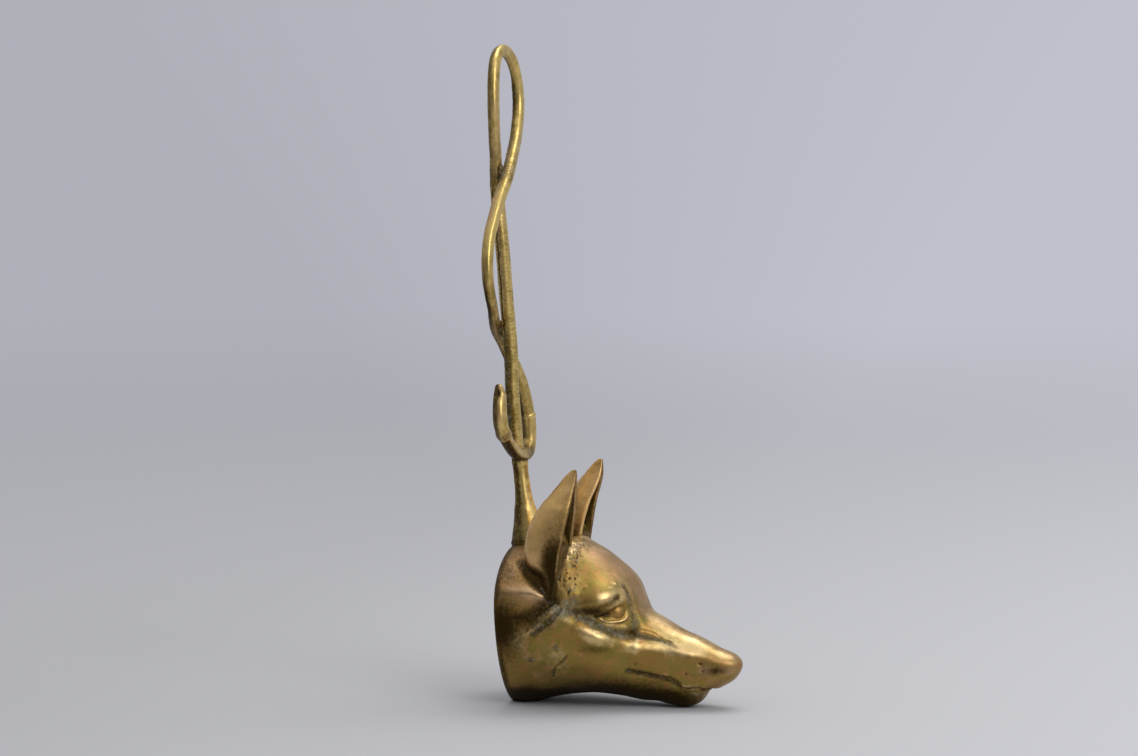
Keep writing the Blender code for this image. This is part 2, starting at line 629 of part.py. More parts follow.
def tube(name, points, diameter, collection, material=None, tapers=None):
    """A round rod along the points; tapers gives the last points' share of the diameter."""
    curve = bpy.data.curves.new(name, 'CURVE')
    curve.dimensions = '3D'
    curve.bevel_depth = diameter / 2
    curve.bevel_resolution = 3
    curve.use_fill_caps = True
    spline = curve.splines.new('POLY')
    spline.points.add(len(points) - 1)
    shares = [1.0] * (len(points) - len(tapers or ())) + list(tapers or ())
    for spot, point, share in zip(spline.points, points, shares):
        spot.co = (*point, 1.0)
        spot.radius = share
    spline.use_smooth = True
    return place(name, curve, collection, material)


def as_mesh(thing):
    """The same rod as a closed mesh."""
    bpy.context.view_layer.update()
    evaluated = thing.evaluated_get(bpy.context.evaluated_depsgraph_get())
    mesh = bpy.data.meshes.new_from_object(evaluated)
    bm = bmesh.new()
    bm.from_mesh(mesh)
    bmesh.ops.remove_doubles(bm, verts=bm.verts, dist=1e-6)
    bm.to_mesh(mesh)
    bm.free()
    name, collection = thing.name, thing.users_collection[0]
    world = thing.matrix_world.copy()
    bpy.data.objects.remove(thing)
    solid = bpy.data.objects.new(name, mesh)
    collection.objects.link(solid)
    solid.parent = bpy.data.objects["doorstop_frame"]
    solid.matrix_world = world
    return solid


def build_whip(parts, cutters, material, dull):
    """Stock, lash, crook and butt: lengths of one route that meet end to end."""
    stock_end = len(STOCK_ROUTE) - 1
    lash_end = stock_end + len(LASH_ROUTE)
    crook_end = lash_end + len(CROOK_ROUTE)
    butt_end = crook_end + len(BUTT_ROUTE)
    crook_points = route_between(lash_end, crook_end, SEAT_GAP)
    tube("crook", crook_points, CROOK_DIAMETER, parts, dull)
    form = tube("crook_form", crook_points, CROOK_DIAMETER + 2 * SEAT_GAP, cutters)
    crook_form = hide_cutter(as_mesh(form))
    tube("lash", route_between(stock_end, lash_end, SEAT_GAP), LASH_DIAMETER, parts, material)
    butt_points = route_between(crook_end, butt_end, SEAT_GAP)
    tube("crook_butt", butt_points, BUTT_DIAMETER, parts, dull, (0.97, 0.85, 0.55))
    stock = as_mesh(tube("whip_stock", route_between(0, stock_end, 0.0), STOCK_DIAMETER, parts, material))
    boolean(stock, crook_form)
    return crook_form


def build_stud(parts, material):
    """The stud that draws the stem down on the crown."""
    stud = cylinder("tie_stud", STUD_DIAMETER / 2, STUD_FOOT, STUD_TOP, STUD_X, parts, 20)
    stud.data.materials.append(material)


def build_washer(parts, material):
    """A plain washer under the pad, turned from its profile."""
    inner, outer = STUD_DIAMETER / 2 + BORE_CLEARANCE, WASHER_DIAMETER / 2
    top, low = WASHER_TOP, WASHER_TOP - WASHER_THICKNESS
    bm = bmesh.new()
    corners = [bm.verts.new((r, 0, z)) for r, z in ((inner, top), (outer, top), (outer, low), (inner, low))]
    for a, b in zip(corners, corners[1:] + corners[:1]):
        bm.edges.new((a, b))
    washer = place("stud_washer", finish_mesh(bm, "stud_washer"), parts, material)
    washer.location.x = STUD_X
    turn = washer.modifiers.new("turn", 'SCREW')
    turn.steps = ROUND_STEPS
    turn.render_steps = ROUND_STEPS
    turn.use_merge_vertices = True
    turn.merge_threshold = 0.00001


def build_nut(parts, cutters, material):
    """A hexagon nut below the washer."""
    corner = NUT_ACROSS_FLATS / 2 / math.cos(math.radians(30))
    nut = cylinder("stud_nut", corner, NUT_TOP - NUT_HEIGHT, NUT_TOP, STUD_X, parts, 6)
    nut.data.materials.append(material)
    radius = STUD_DIAMETER / 2 + BORE_CLEARANCE
    bore = cylinder("nut_bore", radius, STUD_FOOT, PAD_FACE, STUD_X, cutters, 20)
    boolean(nut, hide_cutter(bore))


def main():
    """Builds the doorstop."""
    for thing in list(bpy.data.objects):
        bpy.data.objects.remove(thing)
    parts = new_collection("brass_doorstop")
    cutters = new_collection("cutters")
    frame = bpy.data.objects.new("doorstop_frame", None)
    parts.objects.link(frame)
    frame.location.x = -FOOTPRINT_CENTRE
    worn = brass("worn_brass", BRASS_WORN, 0.34)
    dull = brass("dull_brass", BRASS_DULL, 0.42)
    dark = brass("dark_brass", BRASS_DARK, 0.55)
    build_head(parts, cutters, worn)
    head_form = build_head_form(cutters)
    build_ear("right_ear", -1, 0.0, parts, head_form, worn)
    build_ear("left_ear", 1, LEFT_EAR_SLIMMER, parts, head_form, worn)
    crook_form = build_whip(parts, cutters, worn, dull)
    build_stem(parts, cutters, head_form, crook_form, dull)
    build_stud(parts, dark)
    build_washer(parts, dark)
    build_nut(parts, cutters, dark)


main()
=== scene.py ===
"""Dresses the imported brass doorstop: a cast fox's head with a whip handle, worn, patinated and soiled.

Lengths in the tables are in millimetres, in the doorstop's own layout: x forward from the neck's
flat back, y to the fox's left and z up from the floor. A place on the face is given once, for the
fox's left, and serves both sides.
"""
import math
from functools import reduce

import bmesh
import bpy
import numpy as np
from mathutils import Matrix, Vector, noise
from mathutils.bvhtree import BVHTree


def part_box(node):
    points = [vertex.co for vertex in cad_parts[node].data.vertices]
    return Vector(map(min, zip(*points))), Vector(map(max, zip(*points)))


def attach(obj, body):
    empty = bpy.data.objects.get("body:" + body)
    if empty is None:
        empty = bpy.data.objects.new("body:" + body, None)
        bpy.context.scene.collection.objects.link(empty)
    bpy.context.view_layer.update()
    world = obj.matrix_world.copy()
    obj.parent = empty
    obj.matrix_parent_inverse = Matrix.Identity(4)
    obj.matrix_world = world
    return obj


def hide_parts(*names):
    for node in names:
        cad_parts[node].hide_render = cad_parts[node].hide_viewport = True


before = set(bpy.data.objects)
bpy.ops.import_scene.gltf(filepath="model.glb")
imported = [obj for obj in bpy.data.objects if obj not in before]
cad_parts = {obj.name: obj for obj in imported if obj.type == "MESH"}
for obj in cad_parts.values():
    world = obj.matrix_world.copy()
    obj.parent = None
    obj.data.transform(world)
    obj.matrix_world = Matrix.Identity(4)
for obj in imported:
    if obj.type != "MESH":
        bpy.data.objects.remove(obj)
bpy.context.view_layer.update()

bl_info = {
    "name": "Brass Fox Doorstop",
    "version": (1, 0, 0),
    "blender": (4, 5, 0),
    "location": "3D View > Sidebar > Doorstop",
    "description": "Models and finishes an antique brass doorstop with a fox's head and a whip handle",
    "category": "Object",
}

MM = 0.001
BACK_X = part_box("fox_head")[0].x

# Sections of the head from neck to nose: the crown's x and z, the side's x, y and z, the foot's x and
# z, and how square the section is above and below its side.
HEAD_SECTIONS = [
    (3.0, 95.3, 3.0, 45.5, 59.0, 3.0, -2.1, 2.3, 1.70),
    (12.0, 96.7, 12.0, 46.1, 57.5, 12.0, -2.1, 2.3, 1.75),
    (25.0, 98.8, 25.0, 45.3, 54.5, 23.0, 1.8, 2.3, 1.85),
    (40.0, 99.3, 39.0, 43.7, 51.0, 37.0, 5.0, 2.3, 1.95),
    (53.2, 94.9, 51.0, 39.5, 47.0, 51.0, 6.4, 2.2, 2.0),
    (65.0, 87.4, 62.0, 35.0, 44.0, 63.0, 6.2, 2.2, 2.1),
    (75.5, 78.6, 71.0, 29.5, 41.5, 74.0, 4.8, 2.2, 2.1),
    (81.1, 67.7, 79.0, 24.2, 37.5, 83.0, 3.0, 2.2, 2.2),
    (84.4, 58.7, 87.0, 20.8, 33.0, 90.0, 1.9, 2.2, 2.2),
    (94.5, 52.9, 95.0, 18.7, 29.0, 97.0, 0.4, 2.3, 2.3),
    (106.4, 46.2, 105.0, 16.9, 25.5, 104.0, -0.9, 2.4, 2.4),
    (115.8, 42.7, 113.0, 15.5, 23.5, 111.0, -0.9, 2.4, 2.4),
    (122.7, 39.2, 121.0, 14.2, 22.5, 118.5, 3.0, 2.4, 2.4),
    (129.0, 36.0, 127.0, 12.9, 22.5, 122.2, 8.8, 2.3, 2.3),
    (135.2, 33.9, 133.0, 11.3, 23.2, 129.8, 13.0, 2.2, 2.2),
    (139.2, 31.8, 137.8, 9.0, 24.2, 136.0, 16.5, 2.1, 2.1),
    (141.4, 29.4, 140.9, 5.5, 25.2, 140.2, 21.0, 2.0, 2.0),
    (142.4, 26.2, 142.4, 0.0, 26.2, 142.4, 26.2, 2.0, 2.0),
]
# Columns of vertices between one section and the next
HEAD_COLUMNS = [10, 17, 24, 26, 28, 32, 18, 12, 24, 20, 14, 12, 10, 10, 8, 6, 6]
# Rows of vertices from crown to jaw: share of the way down, and rows up to there
HEAD_ROWS = [(0.0, 0), (0.22, 34), (0.46, 98), (0.75, 134), (1.0, 158)]
HEAD_WALL = 5.0
RIM_WIDTH = 7.5
RIM_ROUND = 3.0
# The hollow from its blind end to the neck: place among the sections, and depth under the skin
HOLLOW_RINGS = [(7.3, 9.8), (7.2, 9.0), (7.0, 7.6), (6.8, 6.4), (6.4, 5.7)]
HOLLOW_RINGS += [(k / 2, HEAD_WALL) for k in range(12, 1, -1)] + [(0.7, HEAD_WALL + 0.3)]
# The inside of the rim: x, and depth under the first section's skin
NECK_RINGS = [(7.0, 6.2), (5.2, 7.1), (3.4, RIM_WIDTH), (1.0, RIM_WIDTH), (0.0, RIM_WIDTH + 0.4)]
# Finish of the head's lining, where it isn't 0
LINING_FINISH = {"dark": 0.9, "rough": 0.7, "deposit": 0.25}

# Swellings of the casting on each side: centre, radius and height
SWELLINGS = [
    ((66.0, 27.5, 69.0), 11.0, 2.4),
    ((64.0, 36.0, 44.0), 11.0, 2.2),
    ((6.0, 42.0, 69.0), 13.0, 1.8),
]
SWELL_LEAN = 10.0
SWELL_AXIS_Z = 42.0

# Lines that the modeller's tools left on the face
CREASE = [(74.4, 18.6, 73.6), (76.3, 18.0, 69.4), (78.3, 18.2, 64.8), (80.2, 18.5, 58.8),
          (81.3, 19.7, 53.0), (81.0, 21.5, 48.5), (80.2, 23.2, 44.5)]
BRIDGE_EDGE = [(80.0, 13.5, 66.0), (83.5, 15.0, 59.0), (86.5, 16.0, 53.0), (88.0, 17.0, 49.0)]
UPPER_LID = [(52.0, 38.6, 55.6), (58.5, 36.2, 58.2), (64.5, 33.0, 60.8), (70.5, 28.2, 64.4),
             (73.6, 23.6, 67.2)]
LID_EDGE = [(62.5, 34.0, 58.8), (66.5, 31.6, 61.2), (70.4, 28.0, 64.0), (72.6, 25.0, 66.2),
            (75.0, 22.0, 64.2), (76.6, 21.3, 60.6), (77.0, 22.4, 56.4)]
LOWER_LID = [(61.8, 34.9, 57.4), (64.6, 33.6, 55.4), (67.6, 32.0, 54.2), (71.0, 29.2, 53.9),
             (74.4, 26.0, 54.2), (76.6, 23.6, 56.0), (77.2, 22.2, 59.2)]
EYE_CORNER = [(60.5, 35.2, 58.2), (64.0, 33.2, 58.6), (67.5, 31.0, 58.4)]
POUCH = [(64.9, 34.1, 51.8), (68.7, 32.0, 49.9), (72.7, 28.6, 48.9), (76.0, 25.2, 50.0)]
UNDER_BROW = [(47.0, 39.4, 60.0), (54.0, 37.8, 60.6), (61.0, 35.0, 62.4), (67.0, 31.2, 64.8),
              (71.6, 26.8, 68.0)]
TEAR_LINE = [(45.0, 40.4, 61.5), (49.1, 39.6, 58.8), (54.8, 37.8, 56.0), (63.4, 35.4, 51.0),
             (71.3, 30.2, 47.0), (77.8, 24.5, 45.7)]
SIDE_GROOVE = [(80.3, 22.4, 46.7), (84.1, 20.3, 44.2), (89.7, 17.9, 42.8), (95.4, 16.3, 41.6),
               (100.2, 15.5, 39.9), (105.0, 15.1, 37.6)]
CRACK = [(84.0, 19.4, 48.2), (88.0, 17.4, 47.4), (91.5, 16.2, 46.2), (94.7, 15.6, 43.9),
         (98.3, 15.2, 42.0), (101.9, 14.8, 40.6), (105.0, 14.6, 38.6)]
CURL = [(69.4, 23.0, 75.6), (71.6, 21.6, 76.0), (73.6, 20.4, 74.4), (75.0, 20.0, 71.4)]
BRIDGE_SIDE = [(84.0, 17.5, 51.0), (92.0, 14.6, 48.6), (102.0, 13.0, 44.0)]
CHEEK_RIDGE = [(46.0, 41.5, 50.8), (52.0, 39.9, 48.6), (58.0, 38.2, 46.2), (64.0, 36.0, 43.9),
               (70.0, 32.2, 41.6)]
CHEEK_UNDER = [(40.0, 43.0, 41.5), (50.0, 40.8, 37.5), (60.0, 38.0, 34.5), (70.0, 32.4, 31.5)]
MUZZLE_RIDGE = [(79.6, 24.8, 36.4), (86.0, 21.6, 36.0), (92.8, 18.8, 35.6), (102.7, 16.4, 34.4),
                (112.0, 15.0, 32.4)]
MUZZLE_EDGE = [(104.0, 14.6, 37.0), (113.4, 14.2, 33.6), (119.2, 12.9, 33.0), (126.3, 11.5, 31.3),
               (133.9, 9.7, 29.5), (139.7, 5.9, 29.2)]
UNDER_EDGE = [(121.0, 14.0, 24.6), (127.0, 12.6, 24.2), (133.0, 10.6, 24.0), (138.0, 8.0, 24.4)]
MOUTH = [(77.6, 23.5, 23.8), (84.3, 20.8, 22.5), (91.2, 18.9, 20.7), (97.1, 17.8, 19.5),
         (101.8, 16.9, 18.4), (105.9, 16.1, 16.0), (108.7, 14.9, 12.3)]
MOUTH_FRONT = [(108.7, 14.9, 12.3), (113.5, 14.2, 12.4), (119.3, 13.0, 12.5), (124.0, 9.4, 12.0),
               (125.2, 4.0, 11.6), (125.5, 0.0, 11.4)]
LOWER_LIP = [(84.2, 20.4, 20.6), (92.9, 18.1, 18.2), (100.6, 17.0, 17.2), (107.6, 15.5, 14.2),
             (112.0, 14.4, 11.0)]
RUFF = [(2.0, 44.6, 70.5), (12.0, 44.2, 71.5), (22.0, 43.4, 71.2), (30.0, 42.9, 69.8)]
RUFF_UNDER = [(3.0, 45.5, 56.0), (14.0, 45.5, 55.5), (24.0, 44.8, 58.0), (31.5, 43.6, 63.0)]
FOLD_RIDGE = [(24.6, 44.9, 49.6), (29.0, 44.9, 55.8), (33.1, 44.2, 60.0), (37.1, 43.0, 64.2)]
FOLD_GROOVE = [(24.6, 44.6, 47.1), (30.8, 44.8, 52.2), (36.1, 43.9, 56.5), (40.7, 42.6, 61.3)]
EAR_VALLEY = [(13.5, 31.8, 88.3), (18.6, 36.6, 84.3), (23.6, 39.0, 80.6), (29.1, 40.9, 76.3),
              (33.2, 42.2, 71.2), (36.5, 42.8, 66.0)]
EAR_BAND = [(41.5, 6.0, 98.5), (40.5, 13.0, 97.0), (41.0, 21.0, 94.0), (42.0, 28.0, 89.0),
            (43.5, 33.4, 82.0), (45.5, 36.4, 75.0)]
CHEEK_CRACK = [(43.5, 39.2, 33.5), (42.0, 38.6, 31.5), (39.4, 37.8, 29.2), (37.6, 37.2, 28.0),
               (35.8, 36.1, 25.8), (34.6, 34.6, 23.0), (34.0, 32.6, 20.6)]
FIRST_TOOTH = [(116.8, 12.9, 9.6), (118.2, 12.9, 11.4)]
SECOND_TOOTH = [(119.6, 12.0, 9.6), (120.8, 11.6, 11.4)]
THIRD_TOOTH = [(121.8, 9.8, 9.6), (122.8, 9.6, 11.2)]

# Oval forms seen from the side: x, z, half length, half height, tilt, lift and how steep its edge is
OVALS = [
    (62.5, 67.4, 11.5, 9.0, 8.0, 3.5, 2.0),
    (70.4, 58.8, 6.6, 4.4, 26.0, -1.9, 3.2),
    (52.0, 30.0, 22.0, 11.0, -4.0, 0.8, 2.4),
    (130.0, 26.0, 10.0, 8.0, 0.0, 0.5, 2.0),
]
# How each line stands out or cuts in: line, radius at its ends, height at its ends, profile
FACE_FORMS = [
    (UNDER_BROW, (2.6, 2.0), (-0.9, -0.8), "round"),
    (CURL, (1.3, 1.3), (0.5, 0.3), "round"),
    (TEAR_LINE, (4.4, 3.2), (-1.5, -1.2), "round"),
    (CHEEK_RIDGE, (5.2, 5.0), (1.6, 1.6), "lobe"),
    (CHEEK_UNDER, (6.5, 5.5), (-1.1, -1.0), "round"),
    (MUZZLE_RIDGE, (5.8, 5.0), (1.7, 0.9), "round"),
    (BRIDGE_SIDE, (5.0, 4.0), (1.1, 0.4), "round"),
    (BRIDGE_EDGE, (6.0, 5.0), (0.3, 0.7), "round"),
    (MUZZLE_EDGE, (3.6, 2.6), (0.45, 0.35), "round"),
    (UNDER_EDGE, (4.0, 3.0), (-0.5, -0.7), "round"),
    (RUFF, (6.5, 3.8), (1.5, 2.6), "round"),
    (RUFF_UNDER, (9.0, 4.5), (-1.8, -2.0), "round"),
    (EAR_VALLEY, (5.0, 3.6), (-2.2, -3.4), "round"),
    (EAR_BAND, (5.0, 4.0), (1.6, 1.0), "round"),
    (FOLD_RIDGE, (3.0, 2.4), (1.2, 1.7), "round"),
]
FACE_LINES = [
    (CREASE, (1.6, 2.9), (-0.8, -1.5), "round"),
    (UPPER_LID, (2.4, 2.0), (0.45, 0.25), "round"),
    (LID_EDGE, (0.7, 0.6), (0.1, 0.25), "round"),
    (LOWER_LID, (0.55, 0.55), (1.1, 1.2), "round"),
    (EYE_CORNER, (1.7, 1.2), (-1.5, -0.6), "round"),
    (POUCH, (2.8, 2.4), (0.6, 0.8), "round"),
    (SIDE_GROOVE, (2.6, 1.6), (-1.6, -0.4), "crease"),
    (CRACK, (0.6, 0.6), (-0.35, -0.6), "crease"),
    (MOUTH, (1.6, 2.6), (-0.8, -2.0), "crease"),
    (MOUTH_FRONT, (2.2, 2.0), (-2.2, -1.6), "crease"),
    (LOWER_LIP, (1.2, 1.1), (0.5, 0.8), "round"),
    (FOLD_GROOVE, (2.2, 1.8), (-1.1, -1.4), "crease"),
    (CHEEK_CRACK, (1.3, 1.2), (-0.7, -0.5), "crease"),
    (FIRST_TOOTH, (0.6, 0.6), (-0.5, -0.5), "crease"),
    (SECOND_TOOTH, (0.6, 0.6), (-0.5, -0.5), "crease"),
    (THIRD_TOOTH, (0.6, 0.6), (-0.5, -0.5), "crease"),
]
# Blowholes in the casting: place, radius and depth
RIGHT_PITS = [
    ((81.7, 22.6, 28.1), 0.9, 0.9), ((85.1, 21.5, 32.9), 0.8, 0.5), ((84.5, 21.7, 31.1), 0.6, 0.5),
    ((96.6, 18.2, 31.7), 1.0, 0.4), ((119.6, 14.1, 28.4), 1.2, 0.8), ((120.8, 14.2, 24.2), 0.8, 0.6),
    ((111.4, 15.7, 22.3), 0.8, 0.5), ((37.4, 42.0, 38.8), 1.6, 0.5), ((21.7, 39.1, 30.5), 1.8, 0.4),
    ((21.0, 45.2, 49.5), 1.3, 0.4), ((43.4, 16.4, 95.8), 1.3, 0.6), ((80.0, 23.4, 37.0), 0.6, 0.5),
]
LEFT_PITS = [
    ((48.0, 40.2, 36.0), 1.2, 0.6), ((90.0, 19.4, 27.0), 0.9, 0.7), ((103.0, 17.0, 24.0), 0.8, 0.5),
    ((28.0, 44.8, 44.0), 1.4, 0.5), ((60.0, 36.0, 35.0), 1.0, 0.5), ((117.0, 14.6, 22.0), 0.8, 0.6),
]
# Places where grey deposit lies: line, radius, strength
DEPOSITS = [
    (CREASE, 3.4, 0.72), (SIDE_GROOVE, 2.6, 0.70), (MOUTH, 1.8, 0.55), (FOLD_GROOVE, 2.8, 0.6),
    (TEAR_LINE, 3.8, 0.76), (CHEEK_CRACK, 1.0, 0.55),
    ([(16.0, 40.0, 34.0), (26.0, 42.0, 26.0), (34.0, 41.0, 34.0)], 8.0, 0.42),
    ([(63.4, 35.4, 51.0), (71.3, 30.2, 47.5), (78.0, 24.5, 47.0)], 2.4, 0.6),
    ([(114.0, 13.2, 9.6), (120.0, 11.4, 9.2), (124.5, 8.0, 9.2)], 1.7, 0.85),
    ([(38.3, 42.8, 62.3), (41.9, 42.4, 60.0), (46.2, 41.0, 60.4)], 4.2, 1.0),
    ([(27.0, 40.2, 78.0), (31.0, 41.6, 74.0), (34.5, 42.5, 69.0)], 2.4, 0.8),
    ([(44.0, 41.0, 66.0), (46.0, 39.6, 64.5), (48.5, 38.8, 67.0)], 4.6, 0.85),
    ([(80.0, 21.8, 50.0), (79.6, 23.4, 44.0)], 2.6, 0.6),
    ([(42.5, 12.0, 97.0), (43.0, 22.0, 93.5)], 3.0, 0.45),
    ([(21.7, 39.1, 30.5), (23.0, 39.6, 31.0)], 2.0, 0.75),
    ([(37.4, 42.0, 38.8), (38.4, 42.0, 38.8)], 1.8, 0.7),
    ([(19.6, 45.4, 49.5), (20.2, 45.4, 48.5)], 1.2, 0.6),
    ([(50.0, 39.0, 58.4), (55.0, 37.6, 57.6), (59.5, 36.0, 56.6)], 2.4, 0.7),
]
# Places with a coppery tint: line, radius, strength
COPPERED = [
    (RUFF, 7.0, 0.9), (MUZZLE_EDGE, 2.6, 0.6), (UNDER_EDGE, 3.2, 0.8),
    ([(3.0, 30.0, 90.0), (14.0, 22.0, 95.0), (8.0, 38.0, 82.0)], 9.0, 0.8),
    ([(50.0, 12.0, 95.0), (62.0, 12.0, 89.0), (76.0, 6.0, 78.0), (82.0, 2.0, 66.0)], 11.0, 0.75),
    ([(132.0, 4.0, 33.0), (139.0, 0.0, 28.0)], 8.0, 0.75),
    ([(84.0, 8.0, 58.0), (100.0, 7.0, 50.0), (120.0, 6.0, 41.0), (138.0, 3.0, 33.0)], 6.0, 0.5),
    ([(126.0, 10.0, 18.0), (134.0, 6.0, 16.0)], 4.0, 0.6),
    ([(117.0, 12.5, 6.0), (121.0, 6.0, 5.0)], 3.0, 0.9),
    ([(69.0, 31.0, 52.0), (73.0, 27.5, 51.0)], 1.6, 0.7),
]
# Painted shade under the jaw, brow, ruff and cheek, on the neck and under the nose, with some dark patina by
# the neck, placed as seen from the side: x, z, how far they reach each way and strength
SHADE_AND_GRIME_SPOTS = [
    (4.0, 50.0, 17.0, 22.0, 1.0), (26.0, 55.0, 14.0, 8.0, 0.7), (66.0, 10.0, 42.0, 9.0, 1.0),
    (8.0, 84.0, 18.0, 12.0, 0.55), (60.0, 38.0, 11.0, 3.4, 0.5), (129.0, 24.4, 8.5, 3.2, 0.75),
    (59.0, 61.0, 12.0, 3.8, 0.9), (49.0, 67.0, 8.0, 6.0, 0.45),
]
# Painted highlights on the brow pad, cheek ridge, muzzle and ruff, partly real polish by hands, given in the
# same way; below 0 the strength paints shade on the neck, forehead and nose
POLISH_HIGHLIGHT_AND_SHADE_SPOTS = [
    (8.0, 88.0, 20.0, 12.0, -0.45),
    (68.0, 68.0, 7.5, 5.0, 0.55), (62.0, 46.4, 9.0, 2.6, 0.40), (90.0, 38.0, 13.0, 3.4, 0.62),
    (89.0, 49.0, 10.0, 4.5, 0.05), (112.0, 36.0, 16.0, 3.0, 0.50), (52.0, 84.0, 14.0, 8.0, -0.20),
    (134.0, 24.0, 7.0, 8.0, -0.40), (20.0, 71.5, 14.0, 3.0, 0.30),
]
# Lines that hold dirt, and that are painted with shade in the ear's valley, under the ruff and brow and at
# the eye's corner: line, radius, strength
DIRT_AND_SHADE_LINES = [
    (EAR_VALLEY, 5.5, 0.95), (RUFF_UNDER, 7.0, 0.85), (CREASE, 3.2, 0.6), (UNDER_BROW, 3.2, 0.8),
    (TEAR_LINE, 4.2, 0.65), (MOUTH, 2.3, 0.85), (MOUTH_FRONT, 1.7, 0.9), (FOLD_GROOVE, 3.0, 0.8),
    (SIDE_GROOVE, 1.9, 0.7), (EYE_CORNER, 2.2, 1.0), (CHEEK_CRACK, 1.2, 0.7),
]

# Each eyeball: the middle of the lids' opening on the skin, the way it looks and how far it stands out
EYE_CENTRE = (72.2, 26.8, 59.4)
EYE_AXIS = (0.55, 0.80, 0.10)
EYE_STANDS_OUT = 0.9

# The ears: height, back x, edge x, width and how far out the middle lies from 30 mm
EAR_SECTIONS = [
    (60.0, 34.5, 35.0, 22.4, -2.5), (67.0, 31.5, 36.3, 24.1, -1.2), (76.0, 30.0, 38.2, 26.4, 0.2),
    (80.5, 28.0, 38.9, 27.2, 0.4), (84.0, 22.6, 39.1, 27.6, 0.2), (88.0, 18.4, 39.4, 28.0, 0.0),
    (94.0, 16.9, 40.2, 28.0, 0.0), (100.0, 17.4, 41.3, 27.0, 0.0), (108.0, 19.0, 42.7, 25.5, 0.0),
    (115.0, 21.8, 43.9, 22.5, 0.0), (121.0, 25.6, 44.9, 19.0, 0.0), (124.5, 28.2, 45.5, 16.2, 0.0),
    (128.0, 31.5, 46.0, 13.4, 0.0), (131.5, 34.3, 46.5, 10.6, 0.0), (135.0, 37.0, 46.9, 7.8, 0.0),
    (138.5, 39.4, 47.2, 5.2, 0.0), (142.0, 42.2, 47.3, 2.8, 0.0), (144.5, 45.0, 47.1, 1.4, 0.0),
]
# How much less deep the fox's left ear is at each of those sections
EAR_SLIMMER = [0.0, 0.0, 2.6, 3.8, 3.8, 3.8, 3.8, 3.8, 3.8, 3.4, 2.7, 1.9, 1.1, 0.4, 0.0, 0.0, 0.0, 0.0]
EAR_MIDDLE = 30.0
EAR_WALL = 3.2
# How deep the ears' roots go into the head's wall
EAR_ROOT_DEPTH = 2.4
# The cups are filled with rough metal below, and open above
EAR_FILL_LOW = 96.0
EAR_FILL_HIGH = 108.0
# Points round an ear's back, round each of its edges and along its cup
EAR_BACK_POINTS = 61
EAR_EDGE_POINTS = 5
EAR_CUP_POINTS = 45

# The stem: height, middle x and y, reach in x and in y
STEM_SECTIONS = [
    (93.0, 9.8, 0.0, 11.2, 8.8), (94.5, 9.8, 0.0, 11.0, 8.6), (99.5, 9.2, 0.0, 10.2, 8.0),
    (105.5, 8.5, 0.0, 8.8, 7.2), (111.0, 7.8, 0.1, 7.6, 6.4), (116.0, 7.1, 0.3, 6.8, 5.8),
    (120.5, 6.4, 0.6, 5.8, 5.2), (127.5, 5.4, 1.0, 5.0, 4.8), (134.5, 4.4, 1.4, 4.7, 4.6),
    (141.5, 3.5, 1.8, 4.7, 4.6), (146.5, 3.0, 2.0, 5.2, 5.0),
]

# The whip's route, up the stock, round the hand loop, down the lash and round the crook to the butt
STOCK_ROUTE = [
    (2.6, -4.0, 153.5), (2.1, -5.1, 165.0), (0.7, -6.5, 189.0), (0.2, -6.8, 207.0), (-0.6, -8.0, 225.0),
    (-2.1, -8.8, 243.0), (-3.6, -9.0, 264.0), (-4.8, -9.8, 280.0), (-7.0, -8.6, 298.0), (-8.9, -5.8, 310.5),
]
LASH_ROUTE = [
    (-9.8, -4.4, 320.0), (-9.6, -6.0, 330.0), (-9.4, -9.0, 342.0), (-9.3, -10.6, 354.0),
    (-9.6, -10.4, 365.0), (-10.1, -8.0, 376.5), (-10.7, -3.0, 386.0), (-11.0, 5.5, 391.2),
    (-11.0, 15.5, 392.4), (-10.9, 25.5, 389.6), (-10.6, 34.5, 384.0), (-10.2, 40.8, 375.7),
    (-9.7, 42.8, 366.5), (-9.0, 41.6, 357.0), (-8.2, 36.8, 347.5), (-6.8, 27.5, 337.8),
    (-4.2, 11.8, 329.4), (-2.2, -2.5, 321.5), (-1.8, -11.0, 315.0), (-2.1, -18.0, 309.0),
    (-2.8, -25.0, 301.5), (-3.7, -31.0, 292.5), (-4.4, -37.2, 282.5), (-4.1, -42.2, 271.0),
    (-3.5, -43.6, 260.0), (-3.0, -40.8, 250.0), (-3.6, -33.0, 240.5), (-6.4, -20.5, 232.2),
    (-9.3, -6.5, 225.2), (-8.8, 6.0, 217.2), (-6.2, 13.0, 208.0), (-3.0, 16.5, 199.0),
    (-0.6, 20.0, 190.0), (1.0, 23.0, 181.0), (1.8, 25.6, 171.2),
]
CROOK_ROUTE = [
    (2.2, 26.6, 162.0), (2.6, 24.6, 153.2), (3.0, 17.5, 148.4), (3.1, 5.0, 148.2), (3.0, -9.0, 152.0),
    (2.8, -20.0, 157.6), (2.5, -28.8, 163.6),
]
BUTT_ROUTE = [
    (2.1, -34.0, 169.0), (1.7, -35.8, 175.2), (1.2, -34.8, 182.5), (0.7, -32.8, 188.5), (0.4, -33.8, 194.0),
]
WHIP_ROUTE = STOCK_ROUTE + LASH_ROUTE + CROOK_ROUTE + BUTT_ROUTE
STOCK_END = len(STOCK_ROUTE) - 1
LASH_END = STOCK_END + len(LASH_ROUTE)
CROOK_END = LASH_END + len(CROOK_ROUTE)
BUTT_END = CROOK_END + len(BUTT_ROUTE)

